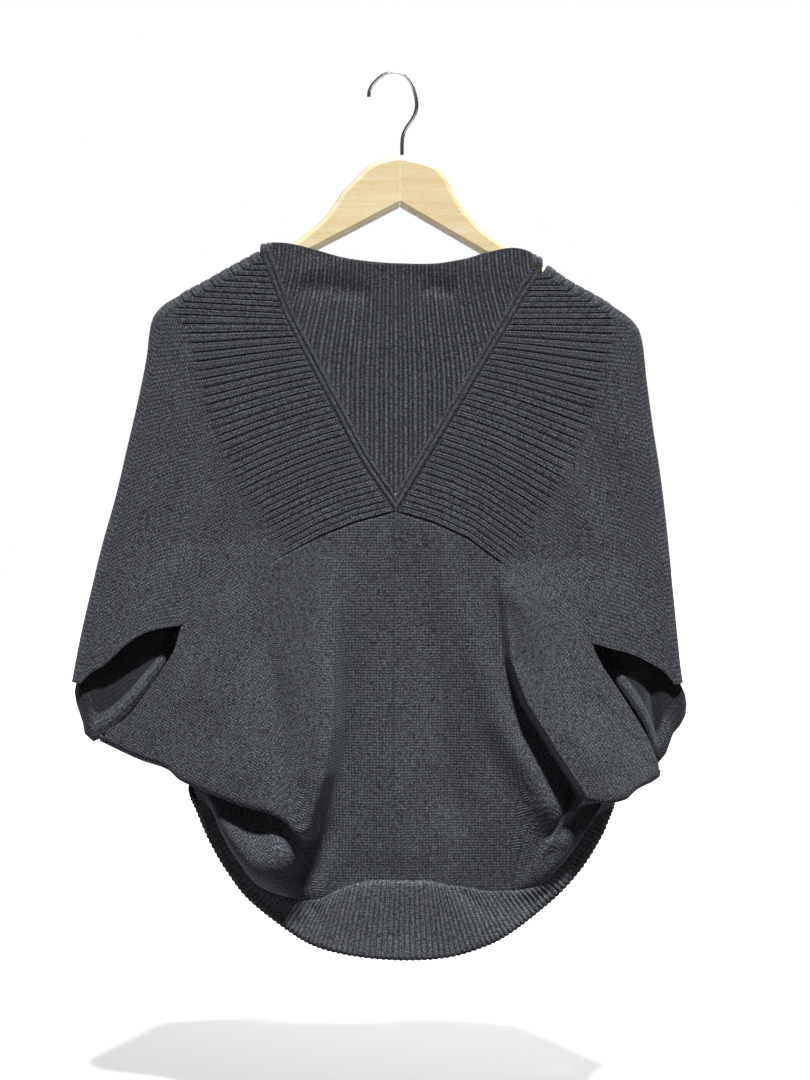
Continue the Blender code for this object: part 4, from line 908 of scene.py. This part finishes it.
def make_front(side):
    """Band down one open front, ruled between its free edge and its seam.  Its foot drops
    and lies further back, so that it laps over the rim's end."""
    table = SIDES[side]
    free = smooth_path(table["front_free"])
    outer = smooth_path(table["front_outer"])

    def surface(u, v):
        a, b = along(free, v), along(outer, v)
        xz = a + (b - a) * u[..., None]
        xz = xz + np.stack([0 * u, -FOOT_DROP * smooth_step((v - 0.9) / 0.1)], -1)
        y = EDGE_RADIUS + 1.0 + 2.0 * np.sin(math.pi * np.clip(v, 0, 1)) * (1 - 0.6 * u)
        y = y + FOOT_BACK * smooth_step((v - 0.88) / 0.08)
        return np.stack([xz[..., 0], y, xz[..., 1]], -1)

    length = np.linalg.norm(np.diff(free, axis=0), axis=1).sum()
    count = round(length / FRONT_RIB_PITCH)
    u, v = np.meshgrid(np.linspace(0, 1, 14),
                       rib_steps(count, np.linspace(0, 1, 8, endpoint=False)),
                       indexing="ij")
    ribs = round_rib(v * count)
    uv = np.stack([v * length, u * 80], -1)
    # 'rib' here is painted shade, darkest in the grooves between the ribs
    piece = wall_piece("front_%s_cloth" % side, surface, u, v, table["sign"],
                       NARROW_RIB_HEIGHT * ribs, uv, 0.1 + 0.9 * ribs)
    finish_piece(piece, rib_knit, "rib_knit", "front_band_" + side)
    return piece


fronts = [make_front(side) for side in ("left", "right")]

# %% [markdown]
# ## The lower back
# The panel hangs from the two seams that meet at the V's point.  Its sides are loose and
# stand out as two wings.  Each wing's low edge turns back under itself and leaves a dark
# pocket, and the cloth below it runs on to the ribbed rim.

# %% Columns of the panel
# Stations count along the panel's edge: 0 the left cuff's tip, 3 and 14 the seams' outer
# ends, 9 the V's point and 17 the right cuff's tip.
LEFT_JOIN, MIDDLE, RIGHT_JOIN, LAST_STATION = 3, 9, 14, 17
FOLD_DROP = 8.0             # of the outer wings' fold; 3 mm less further in
# the deep fold's eight steps: how far back at most in mm (99 for no limit), the same as a
# share of the shelf, how far up in mm, and how much further up at the seams' ends
SHELF_STEPS = [(0, 0, 5.0, 0.0), (1.5, 0.08, 1.2, 0.0), (5, 0.22, 0.0, 0.0),
               (9.5, 0.38, 2.0, 0.0), (99, 0.55, 9.0, 3.0), (99, 0.8, 13.0, 6.0),
               (99, 0.95, 13.0, 9.0), (99, 1.0, 9.0, 10.0)]
RIM_LAP = 0.6               # how far the panel runs over the rim's near seam


def panel_keys(station):
    """Catmull-Rom reading of the key table at any station; the fold is read straight."""
    keys = np.array(PANEL_KEYS)
    k = np.minimum(station.astype(int), len(keys) - 2)
    f = (station - k)[:, None]
    a, b = keys[np.maximum(k - 1, 0)], keys[k]
    c, d = keys[k + 1], keys[np.minimum(k + 2, len(keys) - 1)]
    row = 0.5 * (2 * b + (c - a) * f + (2 * a - 5 * b + 4 * c - d) * f ** 2
                 + (3 * b - a - 3 * c + d) * f ** 3)
    row[:, 5] = (b + (c - b) * f)[:, 5]
    return row


def panel_top(station):
    """Upper edge: left cuff edge, up the left seam, down the right seam, right cuff."""
    left = seam_corners("left")[::-1]
    right = seam_corners("right")
    seam = np.stack([np.interp(station, LEFT_SEAM_STATIONS + RIGHT_SEAM_STATIONS[1:],
                               np.append(left[:, k], right[1:, k])) for k in (0, 1)], -1)
    seam[:, 1] -= 0.8 * (1 - np.exp(-((station - MIDDLE) / 0.12) ** 2))
    cuff_left = along(smooth_path(PANEL_LEFT_CUFF), station / LEFT_JOIN)
    cuff_right = along(smooth_path(PANEL_RIGHT_CUFF), (station - RIGHT_JOIN) / 3)
    left_mix = smooth_step((3.25 - station) / 0.5)[:, None]
    right_mix = smooth_step((station - 13.75) / 0.5)[:, None]
    edge = seam * (1 - left_mix) + cuff_left * left_mix
    return edge * (1 - right_mix) + cuff_right * right_mix


def panel_front(station, row, drop, count):
    """The front: a quadratic line top - middle - edge in each column, lowered by the
    fold's drop at its foot.  The wings' tips lie 28% closer to the hanger."""
    mid, edge, fold = row[:, None, 1:3], row[:, None, 3:5], row[:, None, 5]
    top = panel_top(station)[:, None]
    t = np.linspace(0, 1, count + 1)[None, :]
    line = top + (edge - top) * t[..., None]
    line = line + 4 * (t * (1 - t))[..., None] * (mid - (top + edge) / 2)
    line[..., 1] += drop * smooth_step((t - 0.5) / 0.5) * fold
    tip = np.clip(np.minimum(station, LAST_STATION - station) / 2.5, 0, 1)[:, None]
    depth = near_depth(line[..., 0], line[..., 1]) * (0.72 + 0.28 * tip)
    return np.stack([line[..., 0], -depth, line[..., 1]], -1)


def outer_fold(station, x_edge, z_low, depth, drop, count):
    """Half an ellipse under the outer wings, from the front back to the far layer, and
    only to the hanger's plane at the seams' ends."""
    angle = np.linspace(0, math.pi, count + 1)[None, 1:]
    join = np.where(station < MIDDLE, LEFT_JOIN, RIGHT_JOIN)
    end_depth = 14.5 * (1 - smooth_step(1 - np.abs(station - join)))[:, None]
    y = -depth + (depth + end_depth) / 2 * (1 - np.cos(angle))
    z = z_low + drop * (1 - np.sin(angle))
    return np.stack([np.broadcast_to(x_edge, y.shape), y, z], -1)


def deep_fold(x_edge, z_low, depth, side_mix, count):
    """The shelf over the dark pocket: straight runs between the steps of SHELF_STEPS."""
    back, share, up, more = np.array(SHELF_STEPS, float).T
    shelf = depth - near_depth(x_edge, z_low, 0.0) * side_mix
    at = np.linspace(0, len(SHELF_STEPS) - 1, count + 1)[1:]
    low = np.clip(at.astype(int), 0, len(SHELF_STEPS) - 2)
    part = at - low
    dy, dz = (step[:, low] * (1 - part) + step[:, low + 1] * part
              for step in (np.minimum(back, share * shelf), up + (1 - side_mix) * more))
    return np.stack([np.broadcast_to(x_edge, dy.shape), dy - depth, z_low + dz], -1)


def rim_line(station):
    """Where the panel ends: RIM_LAP over the rim's near seam, so that no light shows
    between the two."""
    share = np.interp(station, *np.array(HEM_SHARE).T)
    zero = np.zeros(len(station))
    first = whole_rim(zero, share)
    away = whole_rim(zero - 0.01, share) - first
    return (first - away * RIM_LAP / np.linalg.norm(away, axis=1)[:, None])[:, None]


def hanging_run(start, hem, t, ease):
    """Cloth that falls from start to the rim, straight in x and z.  Its depth is the near
    layer's, eased into the rim's, and what it is out by at the start fades as (1 - t)^2."""
    x, z = (start[..., k] + (hem[..., k] - start[..., k]) * t for k in (0, 2))
    y = -near_depth(x, z, 0.0) * (1 - ease) + hem[..., 1] * ease
    y = y + (start[..., 1] + near_depth(start[..., 0], start[..., 2], 0.0)) * (1 - t) ** 2
    return np.stack([x, y, z], -1)


def panel_grid(station, front_count, fold_count, flank_count):
    """Front, fold and flank of every column.  The flank bags out by 7 mm, and by 24 mm in
    the lobe about station 5.5.  Where the key table's fold is 0 the cloth falls straight
    from the front to the rim instead."""
    row = panel_keys(station)
    fold = row[:, None, 5]
    inner = smooth_step((station - 2.4) / 0.6) * smooth_step((14.6 - station) / 0.6)
    inner = inner[:, None]
    drop = FOLD_DROP - 3.0 * inner
    side_mix = np.where(station < MIDDLE, smooth_step(station - LEFT_JOIN),
                        smooth_step(RIGHT_JOIN - station))[:, None]
    front = panel_front(station, row, drop, front_count)
    x_edge, depth = front[:, -1:, 0], -front[:, -1:, 1]
    z_low = front[:, -1:, 2] - drop * fold
    outer = outer_fold(station, x_edge, z_low, depth, drop, fold_count)
    deep = deep_fold(x_edge, z_low, depth, side_mix, fold_count)
    hem = rim_line(station)

    t = np.linspace(0, 1, flank_count + 1)[None, 1:]
    flank = hanging_run(deep[:, -1:], hem, t, smooth_step((t - 0.35) / 0.65))
    lobe = 7.0 + 17.0 * np.exp(-((station - 5.5) / 1.7) ** 2)[:, None]
    flank[..., 1] -= lobe * np.sin(math.pi * t ** 2.4) ** 0.8 * side_mix
    t = np.linspace(0, 1, fold_count + flank_count + 1)[None, 1:]
    plain = hanging_run(front[:, -1:], hem, t, smooth_step(t))
    keep = fold[..., None]
    deep = deep * keep + plain[:, :fold_count] * (1 - keep)
    flank = flank * keep + plain[:, fold_count:] * (1 - keep)
    folded = outer * (1 - inner[..., None]) + deep * inner[..., None]
    return front, folded, flank


print("panel's edge at the V:", panel_top(np.array([9.0])).round(1).tolist())

# %% The panel's far layers, its map and its mesh


def far_layer(first, lows, tops):
    """The hidden side of a wing: a bridge back from the fold's last row, then a sheet
    ruled between two edges, at FAR_DEPTH and 2.5 mm more at its top."""
    share = np.linspace(0, 1, len(first))
    low, top = (along(smooth_path(edge), share)[:, None] for edge in (lows, tops))
    t = np.linspace(0, 1, 30)[None, :, None]
    xz = low + (top - low) * t
    y = np.broadcast_to(FAR_DEPTH + 2.5 * t[..., 0], xz.shape[:2])
    far = np.stack([xz[..., 0], y, xz[..., 1]], -1)
    first = first[:, None]
    bridge = first + (far[:, :1] - first) * np.linspace(0, 1, 8)[None, 1:-1, None]
    return np.concatenate([bridge, far], axis=1)


def panel_map(grid):
    """The knitting's own axes: upright in the middle, and turned by 0.62 rad on the right
    wing and -0.55 on the left, as the wings hang askew."""
    x, z = grid[..., 0], grid[..., 2] + 640
    lean = 0.62 * smooth_step((x - 105) / 50) - 0.55 * smooth_step((-60 - x) / 60)
    x = x - np.where(x > 0, 105, -60)
    return np.stack([x * np.cos(lean) + z * np.sin(lean),
                     z * np.cos(lean) - x * np.sin(lean)], -1)


def softened(grid, times):
    """Averages each inner point with its neighbours: half itself, an eighth of each."""
    for _ in range(times):
        inner = (grid[:-2, 1:-1] + grid[2:, 1:-1] + grid[1:-1, :-2] + grid[1:-1, 2:]) / 8
        grid[1:-1, 1:-1] = grid[1:-1, 1:-1] / 2 + inner
    return grid


def make_panel():
    """Front, fold and flank in one grid; the far layers are grids of their own that share
    the fold's last row.  Solidify gives the sheet its wall."""
    spans = [(0, 3, 34), (3, 6, 46), (6, 8, 34), (8, 11, 60), (11, 12.25, 48),
             (12.25, 14, 40)]
    station = np.concatenate([np.linspace(*span)[:-1] for span in spans]
                             + [np.linspace(14, 17, 30)])
    front, folded, flank = panel_grid(station, 96, 28, 46)
    grid = softened(np.concatenate([front, folded, flank], axis=1), 6)
    index = np.arange(grid.shape[0] * grid.shape[1]).reshape(grid.shape[:2])
    last_fold = front.shape[1] + folded.shape[1] - 1
    inside = (station >= LEFT_JOIN - 1e-4) & (station <= RIGHT_JOIN + 1e-4)
    faces = [quads(index[:, :last_fold + 1]), quads(index[inside][:, last_fold:])]
    points = [grid.reshape(-1, 3)]
    maps = [panel_map(grid).reshape(-1, 2)]
    count = index.size
    for chosen, lows, tops in (
            (station <= LEFT_JOIN + 1e-4, FAR_LOW_LEFT, FAR_TOP_LEFT),
            (station >= RIGHT_JOIN - 1e-4, FAR_LOW_RIGHT, FAR_TOP_RIGHT)):
        far = far_layer(grid[chosen, last_fold], lows, tops)
        own = np.arange(far.shape[0] * far.shape[1]).reshape(far.shape[:2]) + count
        count += own.size
        faces.append(quads(np.concatenate([index[chosen, last_fold][:, None], own], 1)))
        points.append(far.reshape(-1, 3))
        maps.append(np.stack([far[..., 0], far[..., 2]], -1).reshape(-1, 2))
    points, faces, maps = (np.concatenate(x) for x in (points, faces, maps))
    used = np.unique(faces)
    lookup = np.zeros(len(points), int)
    lookup[used] = np.arange(len(used))
    points, faces, maps = points[used], lookup[faces], maps[used]
    a, b, c = (points[faces[:len(station), k]] for k in range(3))
    if np.cross(b - a, c - a)[:, 1].mean() > 0:
        faces = faces[:, ::-1]      # the front's outer side faces the viewer, along -y
    piece = cloth_object("lower_back_cloth", points, faces, maps, np.ones(len(points)))
    solid = piece.modifiers.new("wall", "SOLIDIFY")
    solid.thickness = WALL * MM
    solid.offset = -1.0
    finish_piece(piece, plain_knit, "plain_knit", "lower_back")
    print("lower_back_cloth", len(faces) * 4, "triangles with its wall")
    return piece


panel = make_panel()

# %% [markdown]
# ## The hanger
# Steamed beech, planed, rounded and clear-lacquered.  Lacquer fills the pores, so the
# wood is satin and pale, with long faint grain along each arm and short dark flecks.  The
# hook is bright drawn steel wire.

# %% Beech
# Under its lacquer the wood is pale and satin: a soft highlight with a sharper thin one
# over it, and grain about 8 mm wide and 110 mm long.


def beech(name, turn):
    """Grain: noise stretched 14 to 1 along the arm, and short dark rays."""
    material, tree, shader = new_material(name)
    where = add(tree, "ShaderNodeTexCoord")
    laid = add(tree, "ShaderNodeMapping", {"Vector": where.outputs["Object"],
                                           "Rotation": (0, turn, 0),
                                           "Scale": (9.0, 130.0, 130.0)})
    grain = add(tree, "ShaderNodeTexNoise", {"Vector": laid.outputs[0], "Scale": 1.0,
                                             "Detail": 5.0, "Distortion": 0.6})
    rays = add(tree, "ShaderNodeMapping", {"Vector": where.outputs["Object"],
                                           "Rotation": (0, turn, 0),
                                           "Scale": (220.0, 900.0, 1300.0)})
    fleck = add(tree, "ShaderNodeTexNoise", {"Vector": rays.outputs[0], "Scale": 1.0,
                                             "Detail": 1.0})
    tone = add(tree, "ShaderNodeValToRGB", {0: grain.outputs[0]})
    tone.color_ramp.elements[0].position = 0.34
    tone.color_ramp.elements[0].color = linear("#EAD3A0")
    tone.color_ramp.elements[1].position = 0.66
    tone.color_ramp.elements[1].color = linear("#F4E3BC")
    dark = add(tree, "ShaderNodeMapRange", {"Value": fleck.outputs[0], 1: 0.60, 2: 0.78,
                                            3: 0.0, 4: 0.35})
    mixed = add(tree, "ShaderNodeMix", {0: dark.outputs[0], 6: tone.outputs[0],
                                        7: linear("#B98A4B")}, data_type="RGBA")
    bump = add(tree, "ShaderNodeBump", {"Strength": 0.12, "Distance": 0.0003,
                                        "Height": grain.outputs[0]})
    tree.links.new(mixed.outputs[2], shader.inputs["Base Color"])
    tree.links.new(bump.outputs[0], shader.inputs["Normal"])
    shader.inputs["Roughness"].default_value = 0.38
    shader.inputs["Coat Weight"].default_value = 0.35
    shader.inputs["Coat Roughness"].default_value = 0.2
    return material


for side, turn in (("left", 0.5), ("right", -0.55)):
    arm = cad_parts["hanger_arm_" + side]
    arm.data.materials.clear()
    arm.data.materials.append(beech("lacquered beech " + side, turn))
    print("wood on", arm.name)

# %% Wire
# Drawing leaves fine scratches, so the bright wire has an uneven gloss.
wire, tree, shader = new_material("drawn bright steel wire")
where = add(tree, "ShaderNodeTexCoord")
drawn = add(tree, "ShaderNodeTexNoise", {"Vector": where.outputs["Object"],
                                         "Scale": 700.0, "Detail": 2.0})
dull = add(tree, "ShaderNodeMapRange", {"Value": drawn.outputs[0], 3: 0.16, 4: 0.34})
tree.links.new(dull.outputs[0], shader.inputs["Roughness"])
shader.inputs["Base Color"].default_value = linear("#8F9092")
shader.inputs["Metallic"].default_value = 1.0
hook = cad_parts["hanger_hook"]
hook.data.materials.clear()
hook.data.materials.append(wire)
print("wire on", hook.name)

# %% [markdown]
# ## The cloth pieces
# A knitted piece is shaped on the machine.  The count of the cloth pieces is printed here.

print("sheets declared:", 2 + len(trims + sleeves + rims + fronts))

# %% [markdown]
# ## Floor, light and camera
# A plain pale room: a key lamp high above and a little to the right, a weak one from the
# left and one behind for the far side.  The white all round is bright only to the camera,
# so that the pockets stay dark.  The camera looks level at the hanging garment's middle.

# %% Floor and white room
bpy.ops.mesh.primitive_plane_add(size=60, location=(0, 0, -1.0))
floor = bpy.context.object
floor.name = "floor"
pale, tree, shader = new_material("pale floor paint")       # matt, so only a shadow shows
shader.inputs["Base Color"].default_value = linear("#FFFFFF")
shader.inputs["Roughness"].default_value = 0.9
floor.data.materials.append(pale)
floor.visible_diffuse = False       # it throws no light up under the folds

world = bpy.data.worlds.new("white room")
world.use_nodes = True
sky = world.node_tree
seen = add(sky, "ShaderNodeLightPath")
strength = add(sky, "ShaderNodeMapRange", {"Value": seen.outputs["Is Camera Ray"],
                                           3: 0.05, 4: 1.0})
sky.links.new(strength.outputs[0], sky.nodes["Background"].inputs["Strength"])
sky.nodes["Background"].inputs["Color"].default_value = linear("#FFFFFF")
bpy.context.scene.world = world
bpy.context.scene.view_settings.view_transform = "Standard"
print("room:", world.name)

# %% Lamps


def aim(place, target):
    """Turns a lamp's -Z axis from its place to the target."""
    way = np.array(target) - np.array(place)
    tilt = math.atan2(math.hypot(way[0], way[1]), -way[2])
    return tilt, 0, math.atan2(way[0], -way[1]) + math.pi


# name, kind, place, size or angle, power
for name, kind, place, size, power in (
        ("key", "SUN", (0.16, -0.88, 1.25), 0.10, 6.2),
        ("left fill", "AREA", (-1.4, -1.5, 0.1), 1.2, 0.8),
        ("far lamp", "AREA", (0.5, 1.6, 1.0), 1.0, 60.0)):
    lamp = bpy.data.lights.new(name, kind)
    if kind == "SUN":
        lamp.angle = size
    else:
        lamp.size = size
    lamp.energy = power
    thing = bpy.data.objects.new(name, lamp)
    thing.location = place
    thing.rotation_euler = aim(place, (0, 0, -0.42))
    bpy.context.scene.collection.objects.link(thing)
    print(name, power, "W" if kind == "AREA" else "W/m2")

# %% Camera
FRAME_MM = 1026.0           # the photo's height at the garment, 1080 px of 0.95 mm
DISTANCE = 1.80
camera = bpy.data.objects.new("camera", bpy.data.cameras.new("camera"))
camera.data.sensor_width = 36.0
camera.data.lens = 36.0 * DISTANCE / (FRAME_MM * MM)
camera.location = (0.01045, -DISTANCE, -0.4427)
camera.rotation_euler = (math.pi / 2, 0, 0)
bpy.context.scene.collection.objects.link(camera)
bpy.context.scene.camera = camera
print("lens:", round(camera.data.lens, 1), "mm")
